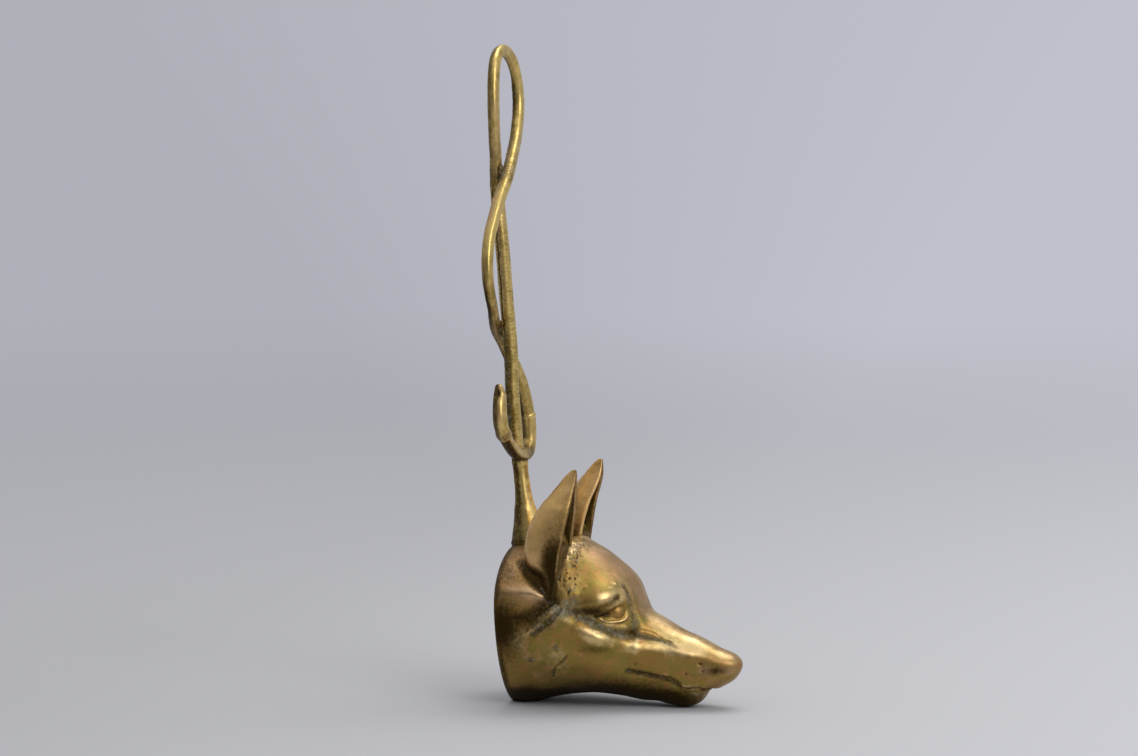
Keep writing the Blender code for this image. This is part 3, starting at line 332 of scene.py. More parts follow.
# Sizes along the whip: place in the route, radius, how square it is, its ridge's angle in degrees, and
# a shift to the picture's right
STOCK_SIZES = [
    (0, 4.4, 2.5, -62, 0.0), (3, 4.4, 2.6, -62, 0.0), (6, 4.4, 2.8, -60, 0.0), (9, 4.2, 2.6, -60, 0.0),
]
LASH_SIZES = [
    (9, 4.0, 2.5, -60, 0.0), (11, 3.6, 2.8, -60, 0.0), (17, 3.6, 2.8, -80, 0.0), (22, 3.6, 2.6, 60, 0.0),
    (27, 3.8, 2.5, 60, 0.0), (30, 3.8, 3.3, 62, 0.0), (33, 3.6, 3.5, 62, 0.0), (36, 3.2, 3.3, 62, 0.0),
    (38, 3.5, 2.5, 60, 0.2), (40, 4.0, 2.4, 60, -0.4), (43, 4.4, 2.4, 60, -0.9), (44, 4.4, 2.4, 60, -0.7),
]
CROOK_SIZES = [(44, 4.6, 2.5, 60, -0.4), (46, 4.1, 2.5, 60, 0.0), (51, 4.0, 2.5, 60, 0.0)]
BUTT_SIZES = [
    (51, 4.4, 2.5, -75, 0.0), (53, 4.4, 2.9, -75, 0.0), (55, 3.9, 2.6, -75, 0.0), (56, 2.2, 2.2, -75, 0.0),
]
# Rounds of points that close the end of each length
DOME_STEPS = 5
# Solder where the whip's lengths meet: centre, reach along x, y and z, and seed of its roughness
SOLDER = {
    "upper_solder": ((-6.0, -6.2, 317.5), (2.6, 3.2, 6.5), 1.0),
    "lower_solder": ((-5.2, -7.2, 226.0), (2.6, 3.6, 5.0), 2.0),
    "crook_solder": ((3.0, -3.0, 151.5), (3.6, 4.6, 3.4), 3.0),
}

# The stud, washer and nut under the crown, with turned profiles as radius and height
STUD_X = 8.6
STUD_RADIUS = 3.0
STUD_TOP = 111.4
STUD_FOOT = 76.3
THREAD_FOOT = 76.9
THREAD_PITCH = 1.0
THREAD_TURNS = 9
THREAD_DEPTH = 0.45
PAD_PROFILE = [(3.3, 87.0), (7.4, 87.0), (8.0, 87.6), (8.6, 91.5), (3.3, 91.5)]
WASHER_PROFILE = [(3.3, 86.7), (6.7, 86.7), (7.0, 86.4), (7.0, 85.4), (6.7, 85.1), (3.3, 85.1)]
NUT_TOP = 84.8
NUT_HEIGHT = 5.0
NUT_CHAMFER = 0.35
BORE_PLAY = 0.15

# The finishes: how much more or less worn each is, and how its brass differs from the head's
FINISHES = {
    "head_brass": (0.0, (1.0, 1.0, 1.0)),
    "ear_brass": (0.06, (1.16, 1.02, 0.84)),
    "handle_brass": (0.05, (1.02, 1.04, 0.78)),
    "fixing_brass": (-0.2, (1.0, 1.0, 1.0)),
}

# The photograph's camera
PICTURE_WIDTH = 1138
FOCAL_PIXELS = 4975
SENSOR_MM = 36.0
CAMERA_AZIMUTH = math.radians(15.5)
CAMERA_ELEVATION = math.radians(5.75)
CAMERA_DISTANCE = 3.0
# Light from overhead, from the window's side, from the pale wall opposite and from the rest of the room
OVERHEAD_LIGHT = 0.84
WINDOW_LIGHT = 1.00
WALL_LIGHT = 0.42
ROOM_LIGHT = 0.08
# Painted light on the backdrop and the floor: how they lighten from the picture's left to its right
BACKDROP_SPAN = (-0.38, -0.14)
BACKDROP_SHADE = (0.98, 1.22)
FLOOR_SPAN = (-0.35, 0.35)
FLOOR_SHADE = (0.86, 1.10)
AIM_ACROSS = 0.0332
AIM_HEIGHT = 0.1955
# Each lamp's place, what it faces, its width and height, and its power
LAMPS = {
    "overhead": ((0.25, 0.75, 2.3), (0.0, 0.0, 0.1), 1.5, 1.2, 20.0),
    "right_window": ((2.2, -1.8, 1.9), (0.0, 0.0, 0.15), 2.0, 1.9, 34.0),
}


def smoothstep(values):
    """0 below 0, 1 above 1 and smooth between."""
    t = np.clip(values, 0.0, 1.0)
    return t * t * (3 - 2 * t)


def through(points, t):
    """The smooth curve through rows of numbers, at places t counted in rows."""
    rows = np.asarray(points, float)
    t = np.atleast_1d(np.asarray(t, float))
    last = len(rows) - 1
    i = np.clip(np.floor(t).astype(int), 0, last - 1)
    f = (t - i)[:, None]
    a, b = rows[np.maximum(i - 1, 0)], rows[i]
    c, d = rows[i + 1], rows[np.minimum(i + 2, last)]
    bend = (2 * a - 5 * b + 4 * c - d) * f ** 2 + (3 * b - a - 3 * c + d) * f ** 3
    return 0.5 * (2 * b + (c - a) * f + bend)


def ripples(points, size, seed=0.0):
    """Smooth noise from -1 to 1 at each point, with lumps of the given size."""
    flat = points.reshape(-1, 3) / size + seed
    values = np.array([noise.noise(p) for p in flat])
    return values.reshape(points.shape[:-1])


def patches(points, size, seed):
    """Smooth noise from 0 to 1 at each point, with patches of the given size."""
    return 0.5 + 0.5 * ripples(points, size, seed)


def unit(vectors):
    """The same vectors at length 1."""
    return vectors / np.maximum(np.linalg.norm(vectors, axis=-1, keepdims=True), 1e-12)


def strongest(*masks):
    """The strongest of some masks at each point."""
    return reduce(np.maximum, masks)


def line_distance(points, line):
    """Distance from each point to a line of straight runs, and the share of the line passed there."""
    line = np.asarray(line, float)
    runs = np.linalg.norm(np.diff(line, axis=0), axis=1)
    passed = np.concatenate([[0.0], np.cumsum(runs)])
    near = np.full(points.shape[:-1], np.inf)
    share = np.zeros(points.shape[:-1])
    for start, end, run, before in zip(line, line[1:], runs, passed):
        way = end - start
        along = np.clip(((points - start) @ way) / (run * run), 0.0, 1.0)
        gap = np.linalg.norm(points - (start + along[..., None] * way), axis=-1)
        closer = gap < near
        near = np.where(closer, gap, near)
        share = np.where(closer, (before + along * run) / passed[-1], share)
    return near, share


def smooth_line(line, steps=5):
    """The line drawn as a smooth curve through its points."""
    return through(line, np.linspace(0, len(line) - 1, (len(line) - 1) * steps + 1))


def line_mark(points, line, radius, strength, torn=1.0):
    """How strongly a mark along a line shows at each point."""
    gap = line_distance(points, line)[0] * torn
    return strength * np.exp(-(gap / radius) ** 2)


def spot_mark(points, x, z, reach_x, reach_z, strength):
    """How strongly a mark, placed as seen from the side, shows at each point."""
    ring = ((points[..., 0] - x) / reach_x) ** 2 + ((points[..., 2] - z) / reach_z) ** 2
    return strength * np.exp(-ring)


def oval(points, x, z, length, height, tilt, lift, power):
    """How far an oval form, placed as seen from the side, lifts each point."""
    turn = math.radians(tilt)
    ahead, up = points[..., 0] - x, points[..., 2] - z
    along = (ahead * math.cos(turn) + up * math.sin(turn)) / length
    across = (up * math.cos(turn) - ahead * math.sin(turn)) / height
    return lift * np.exp(-(along ** 2 + across ** 2) ** (power / 2))


def stroke(points, line, radius, height, profile):
    """How far a modeller's stroke along a line lifts each point."""
    gap, share = line_distance(points, smooth_line(line))
    width = radius[0] + (radius[1] - radius[0]) * share
    lift = height[0] + (height[1] - height[0]) * share
    if profile == "crease":
        gap = gap * (1 + 0.45 * ripples(points, 3.6, 6.1))
        return lift * np.clip(1 - gap / (width * 1.3), 0.0, 1.0) ** 1.6
    if profile == "lobe":
        lift = lift * np.sin(np.pi * np.clip(share, 0.04, 0.96)) ** 0.8
    return lift * np.exp(-(gap / width) ** 2)


def skin_normals(rings):
    """Outward normals of rings of points that close on themselves."""
    ahead = np.concatenate([rings[1:], rings[-1:]]) - np.concatenate([rings[:1], rings[:-1]])
    across = np.roll(rings, -1, axis=1) - np.roll(rings, 1, axis=1)
    normals = unit(np.cross(ahead, across))
    middle = rings.mean(axis=1, keepdims=True)
    if ((rings - middle) * normals).sum() < 0:
        normals = -normals
    return normals


def relief(rings, normals, rounds):
    """How far each point stands out from the skin smoothed over some rounds, in millimetres."""
    smooth = rings.copy()
    for _ in range(rounds):
        around = (np.roll(smooth, 1, axis=1) + np.roll(smooth, -1, axis=1)) / 2
        inner = (smooth[:-2] + smooth[2:]) / 2
        along = np.concatenate([smooth[:1], inner, smooth[-1:]])
        smooth = (smooth * 2 + around + along) / 4
    return ((rings - smooth) * normals).sum(axis=-1)


def world_place(x, y, z):
    """A place of the doorstop's own layout, in the world's metres."""
    return Vector((x * MM + BACK_X, y * MM, z * MM))


def linked(name, data):
    """An object for a mesh, lamp or lens, linked to the scene."""
    thing = bpy.data.objects.new(name, data)
    bpy.context.scene.collection.objects.link(thing)
    return thing


def add_mask(mesh, label, values):
    """Writes a number for each point as an attribute that the materials read."""
    attribute = mesh.attributes.new(label, "FLOAT", "POINT")
    attribute.data.foreach_set("value", np.asarray(values, np.float32))


def finished(name, bm, sharp=None, **masks):
    """The piece that a bmesh holds, smooth but for edges over sharp degrees, with masks even all over."""
    mesh = bpy.data.meshes.new(name)
    bm.to_mesh(mesh)
    bm.free()
    mesh.shade_smooth()
    if sharp is not None:
        mesh.set_sharp_from_angle(angle=math.radians(sharp))
    for label, value in masks.items():
        add_mask(mesh, label, np.full(len(mesh.vertices), value))
    return linked(name, mesh)


def wrap(name, rings, masks):
    """A closed skin from rings of points in millimetres; the first and last ring are drawn to a point.

    Each mask holds a number for each point.
    """
    ends = [rings[:1].mean(axis=1, keepdims=True), rings[-1:].mean(axis=1, keepdims=True)]
    closed = [np.repeat(end, rings.shape[1], axis=1) for end in ends]
    rings = np.concatenate([closed[0], rings, closed[1]])
    along, around = rings.shape[0] - 1, rings.shape[1]
    bm = bmesh.new()
    bmesh.ops.create_grid(bm, x_segments=along, y_segments=around, size=1.0)
    mesh = bpy.data.meshes.new(name)
    bm.to_mesh(mesh)
    bm.free()
    flat = np.empty(len(mesh.vertices) * 3)
    mesh.vertices.foreach_get("co", flat)
    grid = flat.reshape(-1, 3)
    i = np.rint((grid[:, 0] + 1) / 2 * along).astype(int)
    j = np.rint((grid[:, 1] + 1) / 2 * around).astype(int) % around
    places = rings[i, j] * MM
    places[:, 0] += BACK_X
    mesh.vertices.foreach_set("co", places.ravel())
    for label, mask in masks.items():
        padded = np.concatenate([mask[:1], mask, mask[-1:]])
        add_mask(mesh, label, np.clip(padded[i, j], 0.0, 1.0))
    bm = bmesh.new()
    bm.from_mesh(mesh)
    bmesh.ops.remove_doubles(bm, verts=bm.verts, dist=1e-6)
    bmesh.ops.recalc_face_normals(bm, faces=bm.faces)
    bm.to_mesh(mesh)
    bm.free()
    mesh.shade_smooth()
    return linked(name, mesh)


def dress(piece, material, slot, *nodes):
    """Gives a piece its material and its place on the doorstop."""
    piece.data.materials.clear()
    piece.data.materials.append(material)
    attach(piece, "root")
    if nodes:
        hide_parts(*nodes)
    return piece


# Head

def head_skin(rows, v, inset=0.0):
    """Points of the head's left half, by section row and share v from crown to jaw, drawn in by inset."""
    angle = np.pi * (0.5 - v)[None, :]
    square = np.where(angle > 0, rows[:, 7:8], rows[:, 8:9])
    rise = (np.abs(np.sin(angle)) ** (2 / square))[..., None]
    reach = (np.clip(np.cos(angle), 0.0, 1.0) ** (2 / square))[..., None]
    zero = np.zeros(len(rows))
    top = np.stack([rows[:, 0], zero, rows[:, 1] - inset], axis=-1)[:, None]
    low = np.stack([rows[:, 5], zero, rows[:, 6] + inset], axis=-1)[:, None]
    side = np.stack([rows[:, 2], np.maximum(rows[:, 3] - inset, 0.0), rows[:, 4]], axis=-1)[:, None]
    middle = np.stack([(rows[:, 0] + rows[:, 5]) / 2, zero, rows[:, 4]], axis=-1)[:, None]
    end = np.where((angle > 0)[..., None], top, low)
    return middle + (end - middle) * rise + (side - middle) * reach


def swellings(points):
    """The casting's broad swellings at each point of the left half."""
    shift = np.zeros_like(points)
    for centre, radius, height in SWELLINGS:
        away = unit(points - np.array([centre[0] - SWELL_LEAN, 0.0, SWELL_AXIS_Z]))
        fall = np.linalg.norm(points - np.array(centre), axis=-1, keepdims=True) / radius
        shift += away * height * np.exp(-fall * fall)
    return shift


def both_sides(half):
    """Full rings, from the jaw up the right side and down the left, from points of the left half."""
    right = half[:, ::-1].copy()
    right[..., 1] *= -1
    return np.concatenate([right, half[:, 1:-1]], axis=1)


def head_places():
    """The places of the outer skin's columns between the sections, and of its rows from crown to jaw."""
    t = [0.0]
    for k, count in enumerate(HEAD_COLUMNS):
        t += [k + (i + 1) / count for i in range(count)]
    shares, marks = zip(*HEAD_ROWS)
    v = np.interp(np.arange(marks[-1] + 1), marks, shares)
    kernel = np.ones(9) / 9
    steps = np.convolve(np.pad(np.diff(v), 4, mode="edge"), kernel, mode="valid")
    v = np.concatenate([[0.0], np.cumsum(steps)])
    return np.array(t[:-1]), v / v[-1]


def jaw_step(points):
    """How far the lower jaw is drawn in below the mouth's line."""
    line = np.array([(p[0], p[2]) for p in MOUTH + MOUTH_FRONT[1:4]])
    mouth_z = np.interp(points[..., 0], line[:, 0], line[:, 1])
    below = smoothstep((mouth_z - points[..., 2]) / 2.2)
    forward = smoothstep((points[..., 0] - 80.0) / 14.0) * smoothstep((129.0 - points[..., 0]) / 3.0)
    return -1.3 * below * forward


def muzzle_step(points):
    """How far the muzzle's side stands out from the cheek behind it, with an upright edge between them."""
    x, z = points[..., 0], points[..., 2]
    middle = 36.0 - 0.14 * (x - 80.0)
    edge = smoothstep((x - 77.4) / 4.6) * smoothstep((114.0 - x) / 28.0)
    return 0.8 * edge * np.exp(-((z - middle) / 9.0) ** 4)


def folded(points):
    """The same points with both sides of the face laid on its left."""
    return np.stack([points[..., 0], np.abs(points[..., 1]), points[..., 2]], axis=-1)


def model_face(outer):
    """Lays the modeller's strokes on the outer skin."""
    fold = folded(outer)
    lift = sum(stroke(fold, *form) for form in FACE_FORMS) + sum(oval(fold, *form) for form in OVALS)
    lift *= smoothstep(fold[..., 1] / 16.0)
    lift += jaw_step(fold) + muzzle_step(fold)
    lift += 0.16 * ripples(outer, 15.0, 3.1) + 0.07 * ripples(outer, 6.0, 8.7)
    outer = outer + skin_normals(outer) * lift[..., None]
    fold = folded(outer)
    lift = sum(stroke(fold, *line) for line in FACE_LINES)
    from_band = line_distance(fold, EAR_BAND)[0] * (1 + 0.35 * ripples(outer, 6.0, 9.9))
    rough = np.exp(-(from_band / 9.0) ** 4)
    streaked = outer * np.array([1.0, 1.0, 0.45])
    gouges = smoothstep((ripples(streaked, 1.5, 5.5) + 0.02) / 0.5)
    lift += rough * (0.40 * ripples(outer, 5.0, 1.3) + 0.13 * ripples(streaked, 1.3, 4.4) - 0.19 * gouges)
    gouges = rough * gouges
    for side, pits in ((-1, RIGHT_PITS), (1, LEFT_PITS)):
        here = outer[..., 1] * side > 0
        for place, radius, depth in pits:
            gap = np.linalg.norm(fold - np.array(place), axis=-1)
            hole = here * np.exp(-(gap / (1.15 * radius)) ** 2)
            lift -= 1.3 * depth * hole
            gouges = np.maximum(gouges, hole)
    lift += 0.025 * ripples(outer, 2.4, 4.2)
    outer = outer + skin_normals(outer) * lift[..., None]
    return outer, rough, gouges


def head_masks(outer, rough, gouges):
    """Where the outer skin is worn bright, coppery, soiled and dark, with painted highlights on its top faces
    and at the polished spots, and painted shade under the jaw and at the shade spots and lines.
    """
    normals = skin_normals(outer)
    fold = folded(outer)
    x, z = fold[..., 0], fold[..., 2]
    fine, broad = relief(outer, normals, 8), relief(outer, normals, 70)
    hollow = smoothstep(-fine / 0.14) * 0.55 + smoothstep((-broad - 0.15) / 0.7) * 0.5
    raised = smoothstep((fine - 0.01) / 0.14) * 0.35 + smoothstep((broad - 0.05) / 0.9) * 0.6
    # Skin facing up is painted lighter in the wear mask, a painted highlight from the light overhead
    upward = smoothstep((normals[..., 2] + 0.1) / 0.9)
    patchy = patches(outer, 9.0, 2.2)
    worn = raised * (0.5 + 0.5 * upward) + 0.35 * upward * patchy - 0.5 * hollow
    worn += 0.35 * smoothstep((x - 80.0) / 16.0) * upward
    # Painted highlights and painted shade from the spots above go into the wear mask
    for spot in POLISH_HIGHLIGHT_AND_SHADE_SPOTS:
        worn += spot_mark(fold, *spot)
    worn += rough * (0.30 * smoothstep(fine / 0.10) - 0.30) + 0.35 * ripples(outer, 13.0, 5.8)
    torn = 1.0 + 0.55 * ripples(outer, 5.0, 7.7) + 0.35 * ripples(outer, 2.2, 5.2)
    film = patches(outer, 4.0, 9.2)
    deposit = strongest(
        0.30 * smoothstep((hollow - 0.6) / 0.5), 0.35 * gouges, rough * (0.15 + 0.55 * film),
        *(line_mark(fold, *mark, torn) for mark in DEPOSITS))
    copper = strongest(0.15 * patchy, *(line_mark(fold, *mark) for mark in COPPERED))
    # Painted shade along the jaw's underside, darker towards the floor
    low = smoothstep((17.0 + 4.0 * patchy - z) / 12.0) * (0.25 + 0.75 * smoothstep((126.0 - x) / 22.0))
    # Painted shade from the shade spots and the shade lines joins the dark mask here
    dark = strongest(
        0.85 * smoothstep((9.0 - x) / 8.0), 0.65 * hollow, 0.8 * gouges, low,
        *(spot_mark(fold, *spot) for spot in SHADE_AND_GRIME_SPOTS), *(line_mark(fold, *mark) for mark in DIRT_AND_SHADE_LINES))
    return {"worn": worn, "deposit": deposit, "copper": copper, "dark": dark, "rough": rough}


def rim_rings(first, v):
    """The rounded edge of the open neck, drawn in from the first section."""
    rim = []
    for degrees in (0, 22, 45, 68):
        turn = math.radians(degrees)
        ring = head_skin(first, v, RIM_ROUND * (1 - math.sin(turn)))
        ring += swellings(ring)
        ring[..., 0] = RIM_ROUND * (1 - math.cos(turn))
        rim.append(both_sides(ring))
    rim = np.concatenate(rim)
    rim[..., 2] = np.maximum(rim[..., 2], 0.0)
    return rim


def hollow_rings(sections, v):
    """The rough hollow, from its blind end to the neck."""
    inner = [both_sides(head_skin(through(sections, place), v, inset)) for place, inset in HOLLOW_RINGS]
    for x, inset in NECK_RINGS:
        ring = both_sides(head_skin(sections[:1], v, inset))
        ring[..., 0] = x
        inner.append(ring)
    inner = np.concatenate(inner)
    cast = ripples(inner, 7.0, 6.6) * 0.5 + ripples(inner, 2.6, 9.1) * 0.25
    cast *= smoothstep((inner[..., 0] - 1.5) / 8.0)
    return inner - skin_normals(inner) * np.abs(cast)[..., None]


def build_head():
    """The head's rings from the hollow's blind end to the nose, with the masks of its finish."""
    t, v = head_places()
    sections = np.array(HEAD_SECTIONS)
    rows = through(sections, t)
    half = head_skin(rows, v)
    half += swellings(half)
    half[:, [0, -1], 1] = 0.0
    outer, rough, gouges = model_face(both_sides(half))
    outer[..., 2] = np.maximum(outer[..., 2], 0.0)
    masks = head_masks(outer, rough, gouges)
    inner, rim = hollow_rings(sections, v), rim_rings(sections[:1], v)
    rings = np.concatenate([inner, rim, outer])
    inside, edge = len(inner), len(rim)
    full = {}
    for label, mask in masks.items():
        lining = np.full(inner.shape[:2], LINING_FINISH.get(label, 0.0))
        if label == "deposit":
            lining = lining * smoothstep(0.6 + ripples(inner, 11.0, 3.3) * 1.4)
        border = np.repeat(mask[:1], edge, axis=0)
        full[label] = np.concatenate([lining, border, mask])
    full["worn"][inside - 1:inside + edge] = 0.35
    full["lining"] = np.zeros(rings.shape[:2])
    full["lining"][:inside] = 1.0
    return rings, full


def eyeball(name, side, diameter):
    """One eyeball, set in the socket where the lids leave it open."""
    x, y, z = EYE_CENTRE
    out = Vector((EYE_AXIS[0], side * EYE_AXIS[1], EYE_AXIS[2])).normalized()
    radius = diameter / 2
    centre = world_place(x, side * y, z) - out * (radius - EYE_STANDS_OUT * MM)
    bm = bmesh.new()
    bmesh.ops.create_uvsphere(bm, u_segments=64, v_segments=40, radius=radius)
    bmesh.ops.translate(bm, verts=bm.verts, vec=centre)
    return finished(name, bm, worn=0.25, dark=0.15)


# Ears

def ear_rings(side, slimmer):
    """Fine sections of a cupped ear: round its back from edge to edge, then back along the inside."""
    sections = np.array(EAR_SECTIONS)
    sections[:, 2] -= np.array(EAR_SLIMMER) * slimmer
    t = np.concatenate([np.linspace(0, 6, 40)[:-1], np.linspace(6, 16, 72)[:-1], np.linspace(16, 17, 8)])
    rows = through(sections, t)
    height, back, edge, width, outward = rows.T
    depth = edge - back
    wall = np.minimum(EAR_WALL, width * 0.32)
    hollow_back = back + np.minimum(wall * 1.4, depth * 0.6)
    inner_half = width / 2 - wall
    filled = 1 - smoothstep((height - EAR_FILL_LOW) / (EAR_FILL_HIGH - EAR_FILL_LOW))
    hollow_back = hollow_back + (edge + 0.6 - hollow_back) * filled
    points = []

    def add_edge(way):
        """Adds the points round the edge on one side of the cup."""
        for turn in np.radians(np.linspace(30, 150, EAR_EDGE_POINTS)):
            x = edge - wall * 0.45 + wall * 0.5 * math.sin(turn)
            points.append((x, way * (width / 2 - wall / 2) + wall / 2 * math.cos(turn)))

    for turn in np.radians(np.linspace(-90, 90, EAR_BACK_POINTS)):
        x = edge - depth * math.cos(turn) ** 0.92 - wall * 0.45
        points.append((x, width / 2 * math.sin(turn)))
    add_edge(1)
    for turn in np.radians(np.linspace(90, -90, EAR_CUP_POINTS)):
        x = edge - (edge - hollow_back) * math.cos(turn) ** 0.92 - wall * 0.45 * (1 - math.cos(turn))
        points.append((x, inner_half * math.sin(turn)))
    add_edge(-1)
    rings = np.stack([
        np.stack([x, EAR_MIDDLE + outward + y, height], axis=-1) for x, y in points
    ], axis=1)
    rings[..., 1] *= side
    return rings


def ear_parts():
    """1 at the points round an ear's back, and 1 at those in its cup."""
    count = EAR_BACK_POINTS + EAR_CUP_POINTS + 2 * EAR_EDGE_POINTS
    back, cup = np.zeros(count), np.zeros(count)
    back[:EAR_BACK_POINTS] = 1.0
    cup[EAR_BACK_POINTS + EAR_EDGE_POINTS:-EAR_EDGE_POINTS] = 1.0
    return back, cup


def ear_masks(rings, normals, gap, side):
    """Wear, deposit and dirt of an ear, with a painted highlight down its back and painted shade low on its
    front, at its foot and along its edges; gap is each point's distance from the head.
    """
    count = rings.shape[1]
    inside = np.repeat(ear_parts()[1][None], len(rings), axis=0)
    outside = 1 - inside
    height = rings[..., 2]
    raised = smoothstep((relief(rings, normals, 24) - 0.05) / 0.5)
    root = np.exp(-np.maximum(gap, 0.0) / 1.8)
    patchy = patches(rings, 8.0, 4.4)
    turn = np.zeros(count)
    turn[:EAR_BACK_POINTS] = np.linspace(-1, 1, EAR_BACK_POINTS)
    # A painted highlight down the ear's back
    painted_highlight = np.exp(-((turn - 0.60) / 0.17) ** 2) * smoothstep((height - 88.0) / 12.0) * outside
    # Painted shade on the front of the ear low down, at its foot and along its edges
    shaded = smoothstep((np.abs(turn) - 0.60) / 0.3) * smoothstep((122.0 - height) / 32.0) * outside
    foot = smoothstep((91.0 - height) / 9.0) * outside
    places = np.arange(count)
    outer_edge, inner_edge = EAR_BACK_POINTS + (EAR_EDGE_POINTS - 1) / 2, count - EAR_EDGE_POINTS / 2
    rim = np.exp(-((places - outer_edge) / 3.6) ** 2)
    if side < 0:
        rim = rim + np.exp(-((places - inner_edge) / 3.6) ** 2)
    bare = (0.42 + 0.30 * smoothstep((height - 84.0) / 34.0)) * outside * (0.6 + 0.8 * patchy)
    return {
        "worn": bare + 0.75 * painted_highlight + 0.15 * raised - 0.5 * root - 0.45 * shaded - 0.4 * foot - 0.5 * rim,
        "deposit": root * (0.35 + 0.3 * patchy) + inside * 0.45 * patchy + 0.3 * rim * patchy,
        "copper": (0.20 + 0.40 * patchy) * outside * (1 - root) * (1 - 0.6 * painted_highlight),
        "dark": strongest(0.62 * inside, 0.8 * root, 0.95 * shaded, 0.7 * foot, 0.6 * rim),
        "rough": inside * 0.8,
    }


def build_ear(name, side, slimmer, tree):
    """One ear, flared where it stands on the head, with its root held near the head's skin."""
    rings = ear_rings(side, slimmer)
    normals = skin_normals(rings)
    origin = np.array([BACK_X, 0.0, 0.0])
    gap = np.zeros(rings.shape[:2])
    for i, ring in enumerate(rings * MM + origin):
        for j, point in enumerate(ring):
            spot, away, _, far = tree.find_nearest(Vector(point))
            gap[i, j] = far / MM if (Vector(point) - spot).dot(away) > 0 else -far / MM
            if gap[i, j] < -EAR_ROOT_DEPTH:
                held = spot - away * EAR_ROOT_DEPTH * MM
                rings[i, j] = (np.array(held) - origin) / MM
    back, inside = ear_parts()
    outwards = np.maximum(gap, 0.0)
    flare = 1.7 * np.exp(-outwards / 2.2) * back
    lumps = 0.12 * ripples(rings, 8.0, side * 3.0) + 0.04 * ripples(rings, 3.0, 5.0)
    hair = 0.25 * np.sin(np.arange(len(inside)) * 0.9 + rings[..., 2] * 0.15) * inside
    rough = 0.30 * ripples(rings, 1.8, 7.0) * np.exp(-outwards / 2.5)
    shift = (flare + lumps + hair + rough) * smoothstep((gap + EAR_ROOT_DEPTH) / 1.5)
    rings = rings + normals * shift[..., None]
    return wrap(name, rings, ear_masks(rings, skin_normals(rings), gap, side))


# Stem and whip

def bar_reach(angle, ridge, square):
    """Share of the radius at each angle round a bar with four worn ridges, one at the ridge angle."""
    turned = angle - ridge + math.pi / 4
    reach = (np.abs(np.cos(turned)) ** square + np.abs(np.sin(turned)) ** square) ** (-1 / square)
    corner = (2 * math.cos(math.pi / 4) ** square) ** (-1 / square)
    return reach / corner


def build_stem():
    """The stem's rings, faceted like a cast handle and spread on the crown, with a painted highlight and
    painted shade.
    """
    rows = through(STEM_SECTIONS, np.linspace(0, len(STEM_SECTIONS) - 1, 70))
    angle = np.linspace(0, 2 * np.pi, 56, endpoint=False)[None]
    height, x, y, reach_x, reach_y = (column[:, None] for column in rows.T)
    up = smoothstep((height - 98.0) / 30.0)
    square = 2.15 + 0.75 * up
    share = bar_reach(angle, np.radians(-98 + 34 * up), square)
    share = 1 - (1 - share) * (0.4 + 0.6 * up)
    rings = np.stack([
        x + reach_x * share * np.cos(angle), y + reach_y * share * np.sin(angle), height + 0 * angle
    ], axis=-1)
    normals = skin_normals(rings)
    collar = 0.10 * np.exp(-((height - 143.5) / 2.0) ** 2) - 0.3 * np.exp(-((height - 146.0) / 1.0) ** 2)
    foot = 0.5 * np.exp(-((height - 95.5) / 1.2) ** 2)
    lumps = 0.10 * ripples(rings, 5.0, 1.0) + 0.05 * ripples(rings, 2.2, 2.0)
    rings = rings + normals * (collar + foot + lumps)[..., None]
    normals = skin_normals(rings)
    fine = relief(rings, normals, 5)
    low = np.exp(-np.maximum(height - 95.0, 0) / 1.6) + 0 * angle
    top = np.exp(-np.maximum(146.0 - height, 0) / 2.0) + 0 * angle
    # Painted light: a painted highlight on the faces towards the window side and painted shade on the faces
    # away from it
    front = smoothstep((np.cos(angle - math.radians(-30)) - 0.2) / 0.6) + 0 * height
    patchy = patches(rings, 6.0, 3.0)
    glint = 0.45 * front * np.exp(-((height - 113) / 14) ** 2)
    masks = {
        "worn": 0.25 + 0.6 * smoothstep(fine / 0.05) + glint - low,
        "deposit": 0.75 * low * patchy + 0.35 * top * patchy,
        "copper": 0.15 + 0.2 * patchy,
        "dark": strongest(low, top * 0.8, 0.75 * (1 - front) * (0.7 + 0.5 * patchy)),
        "rough": 0.4 * np.maximum(low, top),
    }
    return rings, masks


def route_points(first, last, step):
    """Evenly spaced points of the whip's route between two of its own points, and their place in it."""
    fine = np.linspace(first, last, (last - first) * 40 + 1)
    dense = through(WHIP_ROUTE, fine)
    passed = np.concatenate([[0.0], np.cumsum(np.linalg.norm(np.diff(dense, axis=0), axis=1))])
    count = max(int(round(passed[-1] / step)), 4)
    places = np.interp(np.linspace(0, passed[-1], count + 1), passed, fine)
    return through(WHIP_ROUTE, places), places, np.linspace(0, passed[-1], count + 1)


def sweep(points, reach, sides):
    """Rings round a route.

    reach turns angles into the distance out and each ring's shift towards the picture's right.
    """
    way = unit(np.gradient(points, axis=0))
    right = np.array([1.0, 0.0, 0.0]) - way * way[:, :1]
    right = unit(right)
    other = np.cross(way, right)
    angle = np.linspace(0, 2 * np.pi, sides, endpoint=False)
    out, shift = reach(angle)
    round_x = np.cos(angle)[None, :, None] * right[:, None]
    round_y = np.sin(angle)[None, :, None] * other[:, None]
    rings = points[:, None] + (round_x + round_y) * out[..., None]
    return rings + right[:, None] * shift[:, None, None]


def dome(rings, bulge):
    """The same rings with both ends rounded over."""
    heads = []
    for end, inward in ((rings[0], rings[1]), (rings[-1], rings[-2])):
        middle = end.mean(axis=0)
        out = unit((middle - inward.mean(axis=0))[None])[0]
        cap = []
        for k in range(1, DOME_STEPS + 1):
            turn = math.pi / 2 * k / (DOME_STEPS + 0.5)
            cap.append(middle + (end - middle) * math.cos(turn) + out * bulge * math.sin(turn))
        heads.append(np.array(cap))
    return np.concatenate([heads[0][::-1], rings, heads[1]])


